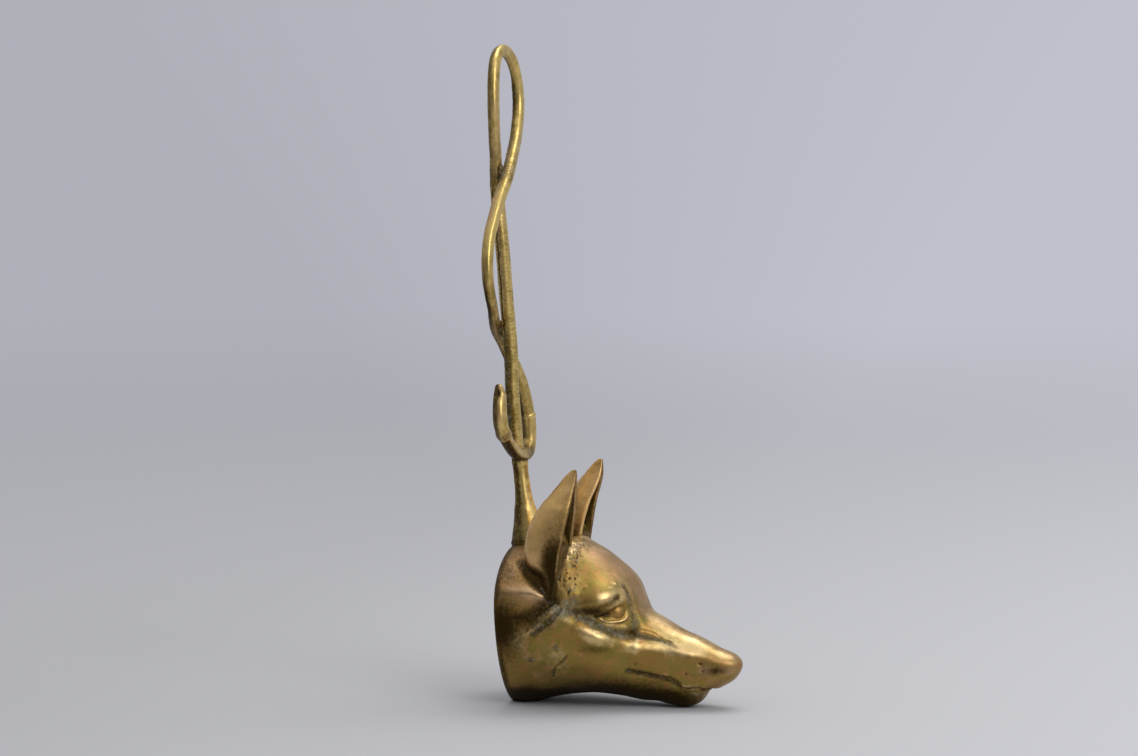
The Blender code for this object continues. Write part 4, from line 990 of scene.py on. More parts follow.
def padded_mask(mask):
    """The mask with its ends repeated under the rounded ends."""
    ends = [np.repeat(end, DOME_STEPS, axis=0) for end in (mask[:1], mask[-1:])]
    return np.concatenate([ends[0], mask, ends[1]])


def build_rod(name, first, last, sizes, ridges, finish, sides=48, bulge=1.2, step=0.9):
    """A length of the whip.

    sizes is one of the tables above. ridges is how much the bar's own relief is polished, and finish turns
    places, lengths passed, angles and rings into extra lift and masks.
    """
    points, places, passed = route_points(first, last, step)
    table = np.array(sizes, float)
    radius, square, turn, shift = (np.interp(places, table[:, 0], table[:, k]) for k in (1, 2, 3, 4))

    def reach(angle):
        share = bar_reach(angle[None], np.radians(turn)[:, None], square[:, None])
        return radius[:, None] * share, shift

    rings = sweep(points, reach, sides)
    angle = np.linspace(0, 2 * np.pi, sides, endpoint=False)[None] + 0 * places[:, None]
    lift, masks = finish(places[:, None] + 0 * angle, passed[:, None] + 0 * angle, angle, rings)
    rings = rings + skin_normals(rings) * lift[..., None]
    normals = skin_normals(rings)
    fine = relief(rings, normals, 4)
    masks["worn"] = masks["worn"] + ridges * smoothstep((fine - 0.02) / 0.12)
    rings = dome(rings, bulge)
    return wrap(name, rings, {label: padded_mask(mask) for label, mask in masks.items()})


def off_angle(angle, middle):
    """How far each angle is from a middle one, at most half a turn either way."""
    return np.angle(np.exp(1j * (angle - middle)))


def near(places, centre, width):
    """1 at a place in the route, falling off either side of it."""
    return np.exp(-((places - centre) / width) ** 2)


def stock_finish(places, passed, angle, rings):
    """The stock: polished to the picture's right, rough with a plaited seam to its left, with painted shade
    on its left side and painted light on its right.
    """
    left = smoothstep((np.cos(angle - math.radians(205)) + 0.35) / 0.8)
    waver = ripples(rings, 4.0, 8.5)
    seam = np.exp(-((off_angle(angle, math.radians(238)) + 0.2 * waver) / 0.22) ** 2)
    chain = np.abs(np.sin(passed * math.pi / 2.6 + 0.6 * np.sin(angle * 3) + 2.5 * waver))
    slant = np.abs(np.sin(passed * math.pi / 2.4 + angle * 2.2))
    lower = smoothstep((4.4 - places) / 1.0)
    lift = 0.12 * ripples(rings, 6.0, 1.5) + left * 0.16 * ripples(rings, 1.5, 2.5)
    lift -= seam * (0.30 + 0.45 * chain) * (1 - lower) + left * (0.24 + 0.12 * lower) * slant
    patchy = patches(rings, 5.0, 6.0)
    braid = np.abs(np.sin(passed * math.pi / 2.3 + 1.3 * np.sin(angle) + 3.0 * waver)) * (1 - left)
    braid *= 0.25 + 0.9 * patchy
    lift -= 0.16 * braid * (1 - 0.7 * lower)
    crossing = near(places, 4.5, 0.35) + near(places, 9.2, 0.5)
    # The left side is darker and the right side lighter: painted shade and painted light, over the left
    # side's real roughness
    masks = {
        "worn": 0.60 * (1 - left) + 0.1 * left + 0.6 * (patchy - 0.5) + 0.45 * left * slant * (1 - lower)
        - 0.35 * braid,
        "deposit": 0.45 * seam * chain + 0.65 * lower * left * patchy + 0.6 * crossing * patchy,
        "copper": 0.30 * near(places, 6.5, 2.0) * left + 0.1 * patchy,
        "dark": strongest(
            (0.42 + 0.30 * lower) * left * (1.2 - 0.7 * slant) * (0.5 + patchy), 0.9 * seam,
            0.35 * smoothstep((braid - 0.5) / 0.4)),
        "rough": left * 0.8,
    }
    return lift, masks


def lash_finish(places, passed, angle, rings):
    """The lash and the hand loop: smooth drawn bar, rough where it is soldered, with painted shade on its
    left-facing side.
    """
    soldered = np.minimum(near(places, 27.5, 0.9) + near(places, 38.2, 0.9) + near(places, 9.6, 0.6), 1.0)
    # Painted shade on the side facing the picture's left
    lefty = smoothstep((0.25 - np.cos(angle)) / 0.7)
    pitted = near(places, 22.3, 3.2) * smoothstep((0.3 - np.cos(angle)) / 0.8)
    lift = 0.10 * ripples(rings, 7.0, 4.0) + 0.05 * ripples(rings, 2.5, 5.0)
    lift += soldered * 0.30 * ripples(rings, 1.6, 6.0)
    lift += pitted * 0.15 * ripples(rings, 1.7, 9.0)
    patchy = patches(rings, 6.0, 7.0)
    bow = near(places, 31.5, 2.6)
    arm = smoothstep((places - 38.5) / 1.5)
    masks = {
        "worn": 0.35 + 0.4 * patchy + 0.25 * bow - 0.4 * soldered - 0.2 * arm - 0.4 * pitted
        - 0.3 * near(places, 35.8, 2.4),
        "deposit": 0.75 * soldered * (0.3 + patchy) + 0.35 * arm * patchy + 0.45 * pitted * patchy,
        "copper": bow * lefty * (0.8 + 0.4 * patchy) + 0.6 * near(places, 11.5, 2.5) * patchy + 0.1,
        "dark": strongest(
            0.9 * near(places, 35.8, 2.6) * (0.35 + 0.65 * lefty), arm * (0.2 + 0.6 * lefty), 0.7 * pitted,
            0.6 * near(places, 10.6, 1.8) * (0.5 + 0.5 * patchy),
            lefty * (0.35 + 0.4 * patchy) * (1 - 0.85 * bow)),
        "rough": soldered * 0.8 + 0.4 * pitted + 0.5 * arm,
    }
    return lift, masks


def crook_finish(places, passed, angle, rings):
    """The crook: smooth outside, rough and soiled where the stock and the stem meet it, with painted shade
    underneath and on the left of its end.
    """
    seat = near(places, LASH_END + 3.2, 0.9)
    inner = smoothstep((rings[..., 2] - 151.0) / 6.0) * smoothstep((0.3 - np.cos(angle)) / 0.8)
    inner *= passed < 16
    step = np.exp(-((passed - 1.2) / 0.9) ** 2)
    lift = 0.08 * ripples(rings, 5.0, 2.0) + 0.35 * step + 0.25 * seat * ripples(rings, 1.7, 3.0)
    patchy = patches(rings, 5.0, 8.0)
    # Painted shade on the crook's underside, with some deposit there
    under = smoothstep((-np.sin(angle) - 0.6 * np.cos(angle) + 0.35) / 0.8)
    under *= smoothstep((places - LASH_END - 1.0) / 2.0)
    masks = {
        "worn": 0.45 + 0.25 * patchy - 0.5 * seat - 0.5 * under,
        "deposit": 0.6 * seat * (0.4 + patchy) + 0.45 * inner * patchy + 0.35 * under * patchy,
        "copper": 0.15 + 0.35 * near(places, CROOK_END - 0.5, 1.5) * patchy,
        "dark": strongest(
            0.5 * seat, 0.75 * under, 0.7 * inner,
            # Painted shade on the left-facing side of the crook's end
            0.65 * near(places, CROOK_END, 1.2) * smoothstep((0.3 - np.cos(angle)) / 0.9)),
        "rough": 0.5 * seat,
    }
    return lift, masks


def butt_finish(places, passed, angle, rings):
    """The butt: leaf-shaped, with a ridge, a step at its foot and a dished end."""
    tip = smoothstep((places - (BUTT_END - 2.4)) / 1.2)
    flat = 1.0 - 0.35 * smoothstep((places - (BUTT_END - 1.6)) / 1.6)
    dish = near(places, BUTT_END - 0.75, 0.75) * np.exp(-(off_angle(angle, -1.75) / 0.62) ** 2)
    foot = near(places, CROOK_END + 0.25, 0.3)
    lift = 0.06 * ripples(rings, 4.0, 2.0) - 1.5 * dish + 0.5 * foot
    lift -= (1 - flat) * 1.2 * np.abs(np.sin(angle))
    patchy = patches(rings, 5.0, 9.0)
    masks = {
        "worn": 0.45 + 0.25 * patchy - 0.8 * dish,
        "deposit": 0.25 * patchy * tip,
        "copper": 0.75 * (0.4 + 0.6 * patchy),
        "dark": strongest(
            0.95 * dish, 0.5 * near(places, CROOK_END + 0.4, 0.5),
            # Painted shade on the butt's left-facing side
            0.7 * smoothstep((0.35 - np.cos(angle)) / 0.7)),
        "rough": 0.15 + 0.4 * dish,
    }
    return lift, masks


def solder(name, centre, reach, seed):
    """A rough lump of solder that fills the joint between two lengths of the whip."""
    bm = bmesh.new()
    bmesh.ops.create_icosphere(bm, subdivisions=5, radius=1.0)
    for vert in bm.verts:
        way = vert.co.normalized()
        rough = noise.noise(way * 1.6 + Vector((seed, 0, 0))) * 0.22 + noise.noise(way * 5.0) * 0.09
        rough += noise.noise(way * 11.0) * 0.05
        vert.co = Vector([c * r * MM for c, r in zip(way * (1 + rough), reach)])
    bmesh.ops.translate(bm, verts=bm.verts, vec=world_place(*centre))
    return finished(name, bm, deposit=0.5, rough=1.0, dark=0.7, worn=0.1)


# Fixing under the crown

def turned(name, profile, segments):
    """A ring or rod turned from a closed profile of radius and height, in millimetres."""
    bm = bmesh.new()
    corners = [bm.verts.new((radius * MM, 0.0, height * MM)) for radius, height in profile]
    edges = [bm.edges.new((a, b)) for a, b in zip(corners, corners[1:] + corners[:1])]
    bmesh.ops.spin(bm, geom=corners + edges, cent=(0, 0, 0), axis=(0, 0, 1), angle=2 * math.pi,
                   steps=segments, use_merge=True)
    bmesh.ops.remove_doubles(bm, verts=bm.verts, dist=1e-6)
    bmesh.ops.recalc_face_normals(bm, faces=bm.faces)
    bmesh.ops.translate(bm, verts=bm.verts, vec=(STUD_X * MM + BACK_X, 0, 0))
    return finished(name, bm, sharp=40)


def stud_profile():
    """The stud's profile of radius and height, threaded near its foot."""
    top = THREAD_FOOT + THREAD_PITCH * THREAD_TURNS
    profile = [(0.0, STUD_TOP), (STUD_RADIUS, STUD_TOP), (STUD_RADIUS, top + 0.4)]
    for k in range(THREAD_TURNS * 2 + 1):
        cut = 0.0 if k % 2 else THREAD_DEPTH
        profile.append((STUD_RADIUS - cut, top - k * THREAD_PITCH / 2))
    return profile + [(STUD_RADIUS - 2 * THREAD_DEPTH, STUD_FOOT), (0.0, STUD_FOOT)]


def build_nut(name, across):
    """A hexagon nut with chamfered corners and a round bore."""
    corner = across / 2 / math.cos(math.radians(30))
    middle_x, middle_z = STUD_X * MM + BACK_X, (NUT_TOP - NUT_HEIGHT / 2) * MM
    bm = bmesh.new()
    bmesh.ops.create_cone(bm, cap_ends=True, segments=6, radius1=corner * MM, radius2=corner * MM,
                          depth=NUT_HEIGHT * MM)
    bmesh.ops.translate(bm, verts=bm.verts, vec=(middle_x, 0, middle_z))
    long_edges = [edge for edge in bm.edges if edge.calc_length() > across * 0.4 * MM]
    bmesh.ops.bevel(bm, geom=long_edges, offset=NUT_CHAMFER * MM, offset_type="OFFSET", segments=3,
                    profile=0.5, affect="EDGES", material=-1)
    caps = [face for face in bm.faces if abs(face.normal.z) > 0.99 and face.calc_area() > 20 * MM * MM]
    bmesh.ops.inset_region(bm, faces=caps, thickness=1.0 * MM)
    mouths = [edge for face in caps for edge in face.edges]
    bmesh.ops.delete(bm, geom=caps, context="FACES_ONLY")
    cut = bmesh.ops.subdivide_edges(bm, edges=mouths, cuts=4)
    rim = [e for e in cut["geom"] if isinstance(e, bmesh.types.BMEdge) and e.is_boundary]
    for vert in {v for edge in rim for v in edge.verts}:
        flat = Vector((vert.co.x - STUD_X * MM - BACK_X, vert.co.y)).normalized()
        flat = flat * (STUD_RADIUS + BORE_PLAY) * MM
        vert.co.x, vert.co.y = flat.x + STUD_X * MM + BACK_X, flat.y
    bmesh.ops.bridge_loops(bm, edges=rim)
    bmesh.ops.recalc_face_normals(bm, faces=bm.faces)
    return finished(name, bm, sharp=35)


# Materials

class Wiring:
    """Adds nodes to a tree and joins them up."""

    def __init__(self, tree):
        self.tree = tree

    def node(self, kind, **settings):
        made = self.tree.nodes.new(kind)
        for key, value in settings.items():
            setattr(made, key, value)
        return made

    def feed(self, socket, value):
        """Sets a socket to a number or colour, or links it to another socket."""
        if isinstance(value, bpy.types.NodeSocket):
            self.tree.links.new(value, socket)
        elif value is not None:
            socket.default_value = value

    def feed_row(self, sockets, values):
        """Feeds sockets in the order in which they stand."""
        for socket, value in zip(sockets, values):
            self.feed(socket, value)

    def feed_named(self, node, values):
        """Feeds a node's sockets by their names."""
        for label, value in values.items():
            self.feed(node.inputs[label], value)

    def maths(self, operation, a, b=None, c=None, clamp=False):
        made = self.node("ShaderNodeMath", operation=operation, use_clamp=clamp)
        self.feed_row(made.inputs, (a, b, c))
        return made.outputs[0]

    def stir(self, noise, amount, base, clamp=False):
        """The base, raised or lowered by how far a noise is from its middle."""
        return self.maths("MULTIPLY_ADD", self.maths("SUBTRACT", noise, 0.5), amount, base, clamp)

    def mix(self, factor, a, b):
        made = self.node("ShaderNodeMix", data_type="RGBA")
        self.feed_row((made.inputs[0], made.inputs[6], made.inputs[7]), (factor, a, b))
        return made.outputs[2]

    def mix_shaders(self, factor, a, b):
        made = self.node("ShaderNodeMixShader")
        self.feed_row(made.inputs, (factor, a, b))
        return made.outputs[0]

    def noise(self, vector, scale, detail=3.0, roughness=0.55):
        made = self.node("ShaderNodeTexNoise")
        self.feed_named(made, {"Vector": vector, "Scale": scale, "Detail": detail, "Roughness": roughness})
        return made.outputs["Fac"]

    def cells(self, vector, scale):
        made = self.node("ShaderNodeTexVoronoi", feature="F1")
        self.feed_named(made, {"Vector": vector, "Scale": scale})
        return made.outputs["Distance"]

    def band(self, value, low, high):
        """0 below low, 1 above high."""
        made = self.node("ShaderNodeMapRange", interpolation_type="SMOOTHSTEP")
        self.feed_row(made.inputs, (value, low, high, 0.0, 1.0))
        return made.outputs[0]

    def axes(self, vector):
        """The x, y and z of a vector."""
        made = self.node("ShaderNodeSeparateXYZ")
        self.feed(made.inputs[0], vector)
        return made.outputs

    def ray_kinds(self):
        """1 for rays from the camera, and 1 for rays that a surface mirrors or lets through."""
        path = self.node("ShaderNodeLightPath").outputs
        mirrored = self.maths("MAXIMUM", path["Is Glossy Ray"], path["Is Transmission Ray"])
        return path["Is Camera Ray"], mirrored

    def attribute(self, name):
        return self.node("ShaderNodeAttribute", attribute_name=name).outputs["Fac"]


def shader_group(name, inputs, outputs):
    """A node group with named sockets, and its wiring and inputs."""
    tree = bpy.data.node_groups.new(name, "ShaderNodeTree")
    for label, kind, value in inputs:
        socket = tree.interface.new_socket(label, in_out="INPUT", socket_type=kind)
        if value is not None:
            socket.default_value = value
    for label, kind in outputs:
        tree.interface.new_socket(label, in_out="OUTPUT", socket_type=kind)
    wiring = Wiring(tree)
    return wiring, wiring.node("NodeGroupInput").outputs, wiring.node("NodeGroupOutput").inputs


def patina_group():
    """Brass that goes from brown patina in the hollows to bright metal where hands wear it and where
    highlights are painted, darkened by soot and by painted shade.
    """
    wiring, given, out = shader_group("brass_patina", [
        ("Place", "NodeSocketVector", None),
        ("Bright", "NodeSocketColor", (0.62, 0.43, 0.17, 1)),
        ("Patina", "NodeSocketColor", (0.30, 0.21, 0.065, 1)),
        ("Soot_and_shade", "NodeSocketColor", (0.075, 0.048, 0.018, 1)),
        ("Copper", "NodeSocketColor", (0.56, 0.33, 0.20, 1)),
        ("Wear_and_highlight", "NodeSocketFloat", 0.5),
        ("Coppered", "NodeSocketFloat", 0.0),
        ("Shade_and_soot_amount", "NodeSocketFloat", 0.0),
    ], [("Colour", "NodeSocketColor"), ("Roughness", "NodeSocketFloat")])
    place = given["Place"]
    broad = wiring.noise(place, 42.0, 3.0, 0.6)
    small = wiring.noise(place, 210.0, 4.0, 0.65)
    spots = wiring.noise(place, 520.0, 2.0, 0.5)
    olive = wiring.mix(wiring.band(broad, 0.35, 0.65), given["Patina"], (0.270, 0.212, 0.040, 1))
    brown = wiring.mix(wiring.band(small, 0.42, 0.64), olive, (0.38, 0.205, 0.060, 1))
    bare = wiring.band(wiring.stir(broad, 0.9, wiring.stir(small, 0.9, given["Wear_and_highlight"])), 0.15, 0.85)
    metal = wiring.mix(bare, brown, given["Bright"])
    tint = wiring.maths("MULTIPLY", given["Coppered"], wiring.band(broad, 0.25, 0.62), clamp=True)
    metal = wiring.mix(wiring.maths("MULTIPLY", tint, 0.8), metal, given["Copper"])
    # Soot and painted shade darken the brass where the dark mask says
    soot_and_shade_mix = wiring.band(wiring.stir(spots, 0.5, given["Shade_and_soot_amount"]), 0.10, 0.95)
    colour = wiring.mix(soot_and_shade_mix, metal, given["Soot_and_shade"])
    specks = wiring.maths("MULTIPLY", wiring.band(wiring.noise(place, 900.0, 2.0, 0.6), 0.58, 0.72), 0.45)
    colour = wiring.mix(specks, colour, given["Soot_and_shade"])
    wiring.feed(out["Colour"], colour)
    rough = wiring.maths("MULTIPLY_ADD", bare, -0.08, 0.44)
    rough = wiring.maths("MULTIPLY_ADD", soot_and_shade_mix, 0.14, rough)
    wiring.feed(out["Roughness"], wiring.stir(small, 0.22, rough, clamp=True))
    return wiring.tree


def deposit_group():
    """Grey-green polish and lime left in the hollows."""
    wiring, given, out = shader_group("polish_deposit", [
        ("Place", "NodeSocketVector", None),
        ("Colour", "NodeSocketColor", (0.5, 0.35, 0.13, 1)),
        ("Roughness", "NodeSocketFloat", 0.35),
        ("Amount", "NodeSocketFloat", 0.0),
        ("Pale", "NodeSocketColor", (0.34, 0.32, 0.225, 1)),
        ("Green", "NodeSocketColor", (0.085, 0.078, 0.034, 1)),
    ], [("Colour", "NodeSocketColor"), ("Roughness", "NodeSocketFloat"), ("Metallic", "NodeSocketFloat"),
        ("Height", "NodeSocketFloat")])
    crumbs = wiring.noise(given["Place"], 1500.0, 4.0, 0.75)
    clumps = wiring.noise(given["Place"], 430.0, 4.0, 0.7)
    amount = wiring.stir(clumps, 1.7, wiring.stir(crumbs, 0.8, given["Amount"]))
    cover = wiring.maths("MULTIPLY", wiring.band(amount, 0.25, 1.15), 0.80)
    mottle = wiring.maths("MULTIPLY_ADD", clumps, 0.6, wiring.maths("MULTIPLY", crumbs, 0.4))
    stuff = wiring.mix(wiring.band(mottle, 0.40, 0.60), given["Green"], given["Pale"])
    wiring.feed(out["Colour"], wiring.mix(cover, given["Colour"], stuff))
    duller = wiring.maths("SUBTRACT", 0.85, given["Roughness"])
    wiring.feed(out["Roughness"], wiring.maths("MULTIPLY_ADD", duller, cover, given["Roughness"]))
    wiring.feed(out["Metallic"], wiring.maths("MULTIPLY_ADD", cover, -0.85, 1.0))
    wiring.feed(out["Height"], wiring.maths("MULTIPLY", cover, crumbs))
    return wiring.tree


def casting_group():
    """The height of sand-cast grain, blowholes, file marks and roughness left in the casting."""
    wiring, given, out = shader_group("casting_marks", [
        ("Place", "NodeSocketVector", None),
        ("Rough", "NodeSocketFloat", 0.0),
    ], [("Height", "NodeSocketFloat")])
    place = given["Place"]
    grain = wiring.noise(place, 650.0, 3.0, 0.6)
    lumps = wiring.noise(place, 190.0, 2.0, 0.5)
    stretched = wiring.node("ShaderNodeMapping")
    stretched.inputs["Scale"].default_value = (1.0, 1.0, 0.12)
    stretched.inputs["Rotation"].default_value = (0.2, 0.9, 0.3)
    wiring.feed(stretched.inputs["Vector"], place)
    marks = wiring.noise(stretched.outputs[0], 1600.0, 1.0, 0.4)
    holes = wiring.band(wiring.cells(place, 230.0), 0.16, 0.05)
    sparse = wiring.band(wiring.noise(place, 70.0, 1.0), 0.50, 0.60)
    coarse = wiring.noise(place, 420.0, 4.0, 0.7)
    height = wiring.maths("MULTIPLY_ADD", grain, 0.18, wiring.maths("MULTIPLY", lumps, 0.55))
    height = wiring.maths("MULTIPLY_ADD", marks, 0.10, height)
    height = wiring.maths("MULTIPLY_ADD", wiring.maths("MULTIPLY", holes, sparse), -1.0, height)
    height = wiring.maths("MULTIPLY_ADD", wiring.maths("MULTIPLY", coarse, given["Rough"]), 2.2, height)
    wiring.feed(out["Height"], height)
    return wiring.tree


def blank_material(name):
    """A material without nodes, and the wiring for it."""
    material = bpy.data.materials.new(name)
    material.use_nodes = True
    material.node_tree.nodes.clear()
    return material, Wiring(material.node_tree)


def brass_material(name, colours, wear, groups):
    """Aged cast brass; wear is added to what each piece's own mask says."""
    material, wiring = blank_material(name)
    place = wiring.node("ShaderNodeTexCoord").outputs["Object"]
    patina = wiring.node("ShaderNodeGroup", node_tree=groups["patina"])
    # The wear mask also carries painted highlights and painted shade, and the dark mask carries painted shade
    # as well as soot
    wiring.feed_named(patina, {
        "Place": place, "Wear_and_highlight": wiring.maths("ADD", wiring.attribute("worn"), wear),
        "Coppered": wiring.attribute("copper"), "Shade_and_soot_amount": wiring.attribute("dark")})
    wiring.feed_named(patina, {label: (*colour, 1.0) for label, colour in colours.items()})
    deposit = wiring.node("ShaderNodeGroup", node_tree=groups["deposit"])
    wiring.feed_named(deposit, {
        "Place": place, "Colour": patina.outputs["Colour"], "Roughness": patina.outputs["Roughness"],
        "Amount": wiring.attribute("deposit")})
    casting = wiring.node("ShaderNodeGroup", node_tree=groups["casting"])
    wiring.feed_named(casting, {"Place": place, "Rough": wiring.attribute("rough")})
    bump = wiring.node("ShaderNodeBump")
    wiring.feed_named(bump, {
        "Strength": 0.55, "Distance": 0.00022,
        "Height": wiring.maths("MULTIPLY_ADD", deposit.outputs["Height"], 1.2, casting.outputs["Height"])})
    shader = wiring.node("ShaderNodeBsdfPrincipled")
    wiring.feed_named(shader, {
        "Base Color": deposit.outputs["Colour"], "Roughness": deposit.outputs["Roughness"],
        "Metallic": deposit.outputs["Metallic"], "Normal": bump.outputs["Normal"]})
    wiring.feed(wiring.node("ShaderNodeOutputMaterial").inputs["Surface"], shader.outputs["BSDF"])
    return material


def finish_of(name):
    """One of the doorstop's finishes, made when first asked for."""
    made = bpy.data.materials.get(name)
    if made:
        return made
    groups = {}
    for label, tree_name, maker in (("patina", "brass_patina", patina_group),
                                    ("deposit", "polish_deposit", deposit_group),
                                    ("casting", "casting_marks", casting_group)):
        groups[label] = bpy.data.node_groups.get(tree_name) or maker()
    settings = bpy.context.scene.doorstop_finish
    colours = {"Bright": settings.bright, "Patina": settings.patina, "Soot_and_shade": settings.soot_and_shade,
               "Copper": settings.copper}
    wear, tint = FINISHES[name]
    for label in ("Bright", "Patina"):
        colours[label] = [part * share for part, share in zip(colours[label], tint)]
    return brass_material(name, {label: tuple(c) for label, c in colours.items()}, wear, groups)


def head_tree():
    """A search tree over the outside of the finished head, for what stands on it."""
    head = bpy.data.objects["fox_head_casting"].data
    bm = bmesh.new()
    bm.from_mesh(head)
    lining = head.attributes["lining"].data
    inside = [vert for vert in bm.verts if lining[vert.index].value > 0.5]
    bmesh.ops.delete(bm, geom=inside, context="VERTS")
    tree = BVHTree.FromBMesh(bm)
    bm.free()
    return tree


# Stage

def area_light(name, place, aim, width, height, power):
    """A soft rectangular lamp that faces its aim."""
    lamp = bpy.data.lights.new(name, "AREA")
    lamp.shape = "RECTANGLE"
    lamp.size, lamp.size_y = width, height
    lamp.energy = power
    thing = linked(name, lamp)
    thing.location = place
    thing.rotation_euler = (Vector(aim) - Vector(place)).to_track_quat("-Z", "Y").to_euler()


def graded(wiring, across, span, shades, colour):
    """A colour of the stage with painted light and shade, darker to the picture's left and lighter to its
    right.
    """
    shade = wiring.node("ShaderNodeMapRange")
    wiring.feed_row(shade.inputs, (across, *span, *shades))
    scaled = wiring.node("ShaderNodeVectorMath", operation="SCALE")
    scaled.inputs[0].default_value = colour
    wiring.feed(scaled.inputs["Scale"], shade.outputs[0])
    return scaled.outputs[0]


def make_world(colour):
    """The backdrop behind the doorstop, soft light overhead and to the right, and a dim room elsewhere."""
    world = bpy.data.worlds.new("studio")
    world.use_nodes = True
    bpy.context.scene.world = world
    world.node_tree.nodes.clear()
    wiring = Wiring(world.node_tree)
    across, along, height = wiring.axes(wiring.node("ShaderNodeTexCoord").outputs["Generated"])
    overhead = wiring.maths("MULTIPLY", wiring.band(height, 0.15, 0.95), OVERHEAD_LIGHT)
    farther = wiring.maths("MULTIPLY_ADD", wiring.band(along, -0.7, 0.2), 0.05, 0.95)
    overhead = wiring.maths("MULTIPLY", overhead, farther)
    window = wiring.maths("MULTIPLY", wiring.band(across, 0.30, 0.95), WINDOW_LIGHT)
    window = wiring.maths("MULTIPLY", window, wiring.band(height, 0.0, 0.40))
    wall = wiring.maths("MULTIPLY", wiring.band(across, -0.45, -0.95), WALL_LIGHT)
    wall = wiring.maths("MULTIPLY", wall, wiring.band(height, -0.05, 0.30))
    sides = wiring.maths("MAXIMUM", wall, ROOM_LIGHT)
    level = wiring.maths("MAXIMUM", wiring.maths("MAXIMUM", overhead, window), sides)
    behind = wiring.band(along, -0.10, 0.45)
    camera, mirrored = wiring.ray_kinds()
    shown = wiring.maths("MAXIMUM", camera, wiring.maths("MULTIPLY", mirrored, behind))
    seen = wiring.node("ShaderNodeBackground")
    wiring.feed(seen.inputs["Color"], graded(wiring, across, BACKDROP_SPAN, BACKDROP_SHADE, colour))
    rear = wiring.maths("MULTIPLY", wiring.band(height, 0.05, 0.60), 0.5)
    lit = wiring.node("ShaderNodeBackground")
    wiring.feed_named(lit, {
        "Color": (0.98, 0.99, 1.0, 1.0),
        "Strength": wiring.maths("MAXIMUM", level, wiring.maths("MULTIPLY", behind, rear))})
    mixed = wiring.mix_shaders(shown, lit.outputs[0], seen.outputs[0])
    wiring.feed(wiring.node("ShaderNodeOutputWorld").inputs["Surface"], mixed)


def floor_material(colour, backdrop):
    """Matt paper that, far off, takes the backdrop's colour."""
    material, wiring = blank_material("floor_paper")
    place = wiring.node("ShaderNodeTexCoord").outputs["Object"]
    length = wiring.node("ShaderNodeVectorMath", operation="LENGTH")
    wiring.feed(length.inputs[0], place)
    far = wiring.band(length.outputs["Value"], 0.25, 2.8)
    near_x = wiring.axes(place)[0]
    paper = wiring.node("ShaderNodeBsdfPrincipled")
    wiring.feed_named(paper, {
        "Roughness": 0.85, "Base Color": graded(wiring, near_x, FLOOR_SPAN, FLOOR_SHADE, colour)})
    away = wiring.node("ShaderNodeVectorMath", operation="NORMALIZE")
    wiring.feed(away.inputs[0], place)
    far_x = wiring.axes(away.outputs[0])[0]
    glow = wiring.node("ShaderNodeEmission")
    wiring.feed(glow.inputs["Color"], graded(wiring, far_x, BACKDROP_SPAN, BACKDROP_SHADE, backdrop))
    shown = wiring.maths("MAXIMUM", *wiring.ray_kinds())
    mixed = wiring.mix_shaders(wiring.maths("MULTIPLY", far, shown), paper.outputs[0], glow.outputs[0])
    wiring.feed(wiring.node("ShaderNodeOutputMaterial").inputs["Surface"], mixed)
    return material


def make_camera():
    """The photograph's view."""
    right = Vector((math.cos(CAMERA_AZIMUTH), math.sin(CAMERA_AZIMUTH), 0.0))
    back = Vector((math.sin(CAMERA_AZIMUTH) * math.cos(CAMERA_ELEVATION),
                   -math.cos(CAMERA_AZIMUTH) * math.cos(CAMERA_ELEVATION), math.sin(CAMERA_ELEVATION)))
    aim = right * AIM_ACROSS + Vector((BACK_X, 0.0, AIM_HEIGHT))
    lens = bpy.data.cameras.new("camera")
    lens.sensor_width = SENSOR_MM
    lens.lens = SENSOR_MM * FOCAL_PIXELS / PICTURE_WIDTH
    camera = linked("camera", lens)
    camera.location = aim + back * CAMERA_DISTANCE
    camera.rotation_euler = (-back).to_track_quat("-Z", "Y").to_euler()
    bpy.context.scene.camera = camera


# Settings

class DoorstopSizes(bpy.types.PropertyGroup):
    """Sizes of the doorstop's finer details."""

    eye_diameter: bpy.props.FloatProperty(
        name="Eye diameter", description="Diameter of each eyeball", default=0.0130, unit="LENGTH")
    nut_across: bpy.props.FloatProperty(
        name="Nut across flats", description="Width of the nut under the crown", default=0.010, unit="LENGTH")
    floor_radius: bpy.props.FloatProperty(
        name="Floor radius", description="How far the floor reaches", default=40.0, unit="LENGTH")


class DoorstopFinish(bpy.types.PropertyGroup):
    """Colours of the brass and of the stage."""

    bright: bpy.props.FloatVectorProperty(
        name="Bright brass", description="Brass where hands keep it bright", subtype="COLOR",
        size=3, default=(0.74, 0.540, 0.245))
    patina: bpy.props.FloatVectorProperty(
        name="Patina", description="Brown film on the brass", subtype="COLOR",
        size=3, default=(0.335, 0.215, 0.055))
    # This colour paints shade as well as soot
    soot_and_shade: bpy.props.FloatVectorProperty(
        name="Soot_and_shade", description="Dirt in the hollows", subtype="COLOR",
        size=3, default=(0.045, 0.027, 0.008))
    copper: bpy.props.FloatVectorProperty(
        name="Copper tint", description="Pink tint where zinc has leached out", subtype="COLOR",
        size=3, default=(0.56, 0.34, 0.21))
    floor: bpy.props.FloatVectorProperty(
        name="Floor", description="The stage's floor", subtype="COLOR",
        size=3, default=(0.51, 0.51, 0.535))
    backdrop: bpy.props.FloatVectorProperty(
        name="Backdrop", description="What stands behind the doorstop", subtype="COLOR",
        size=3, default=(0.434, 0.440, 0.491))


# Operators

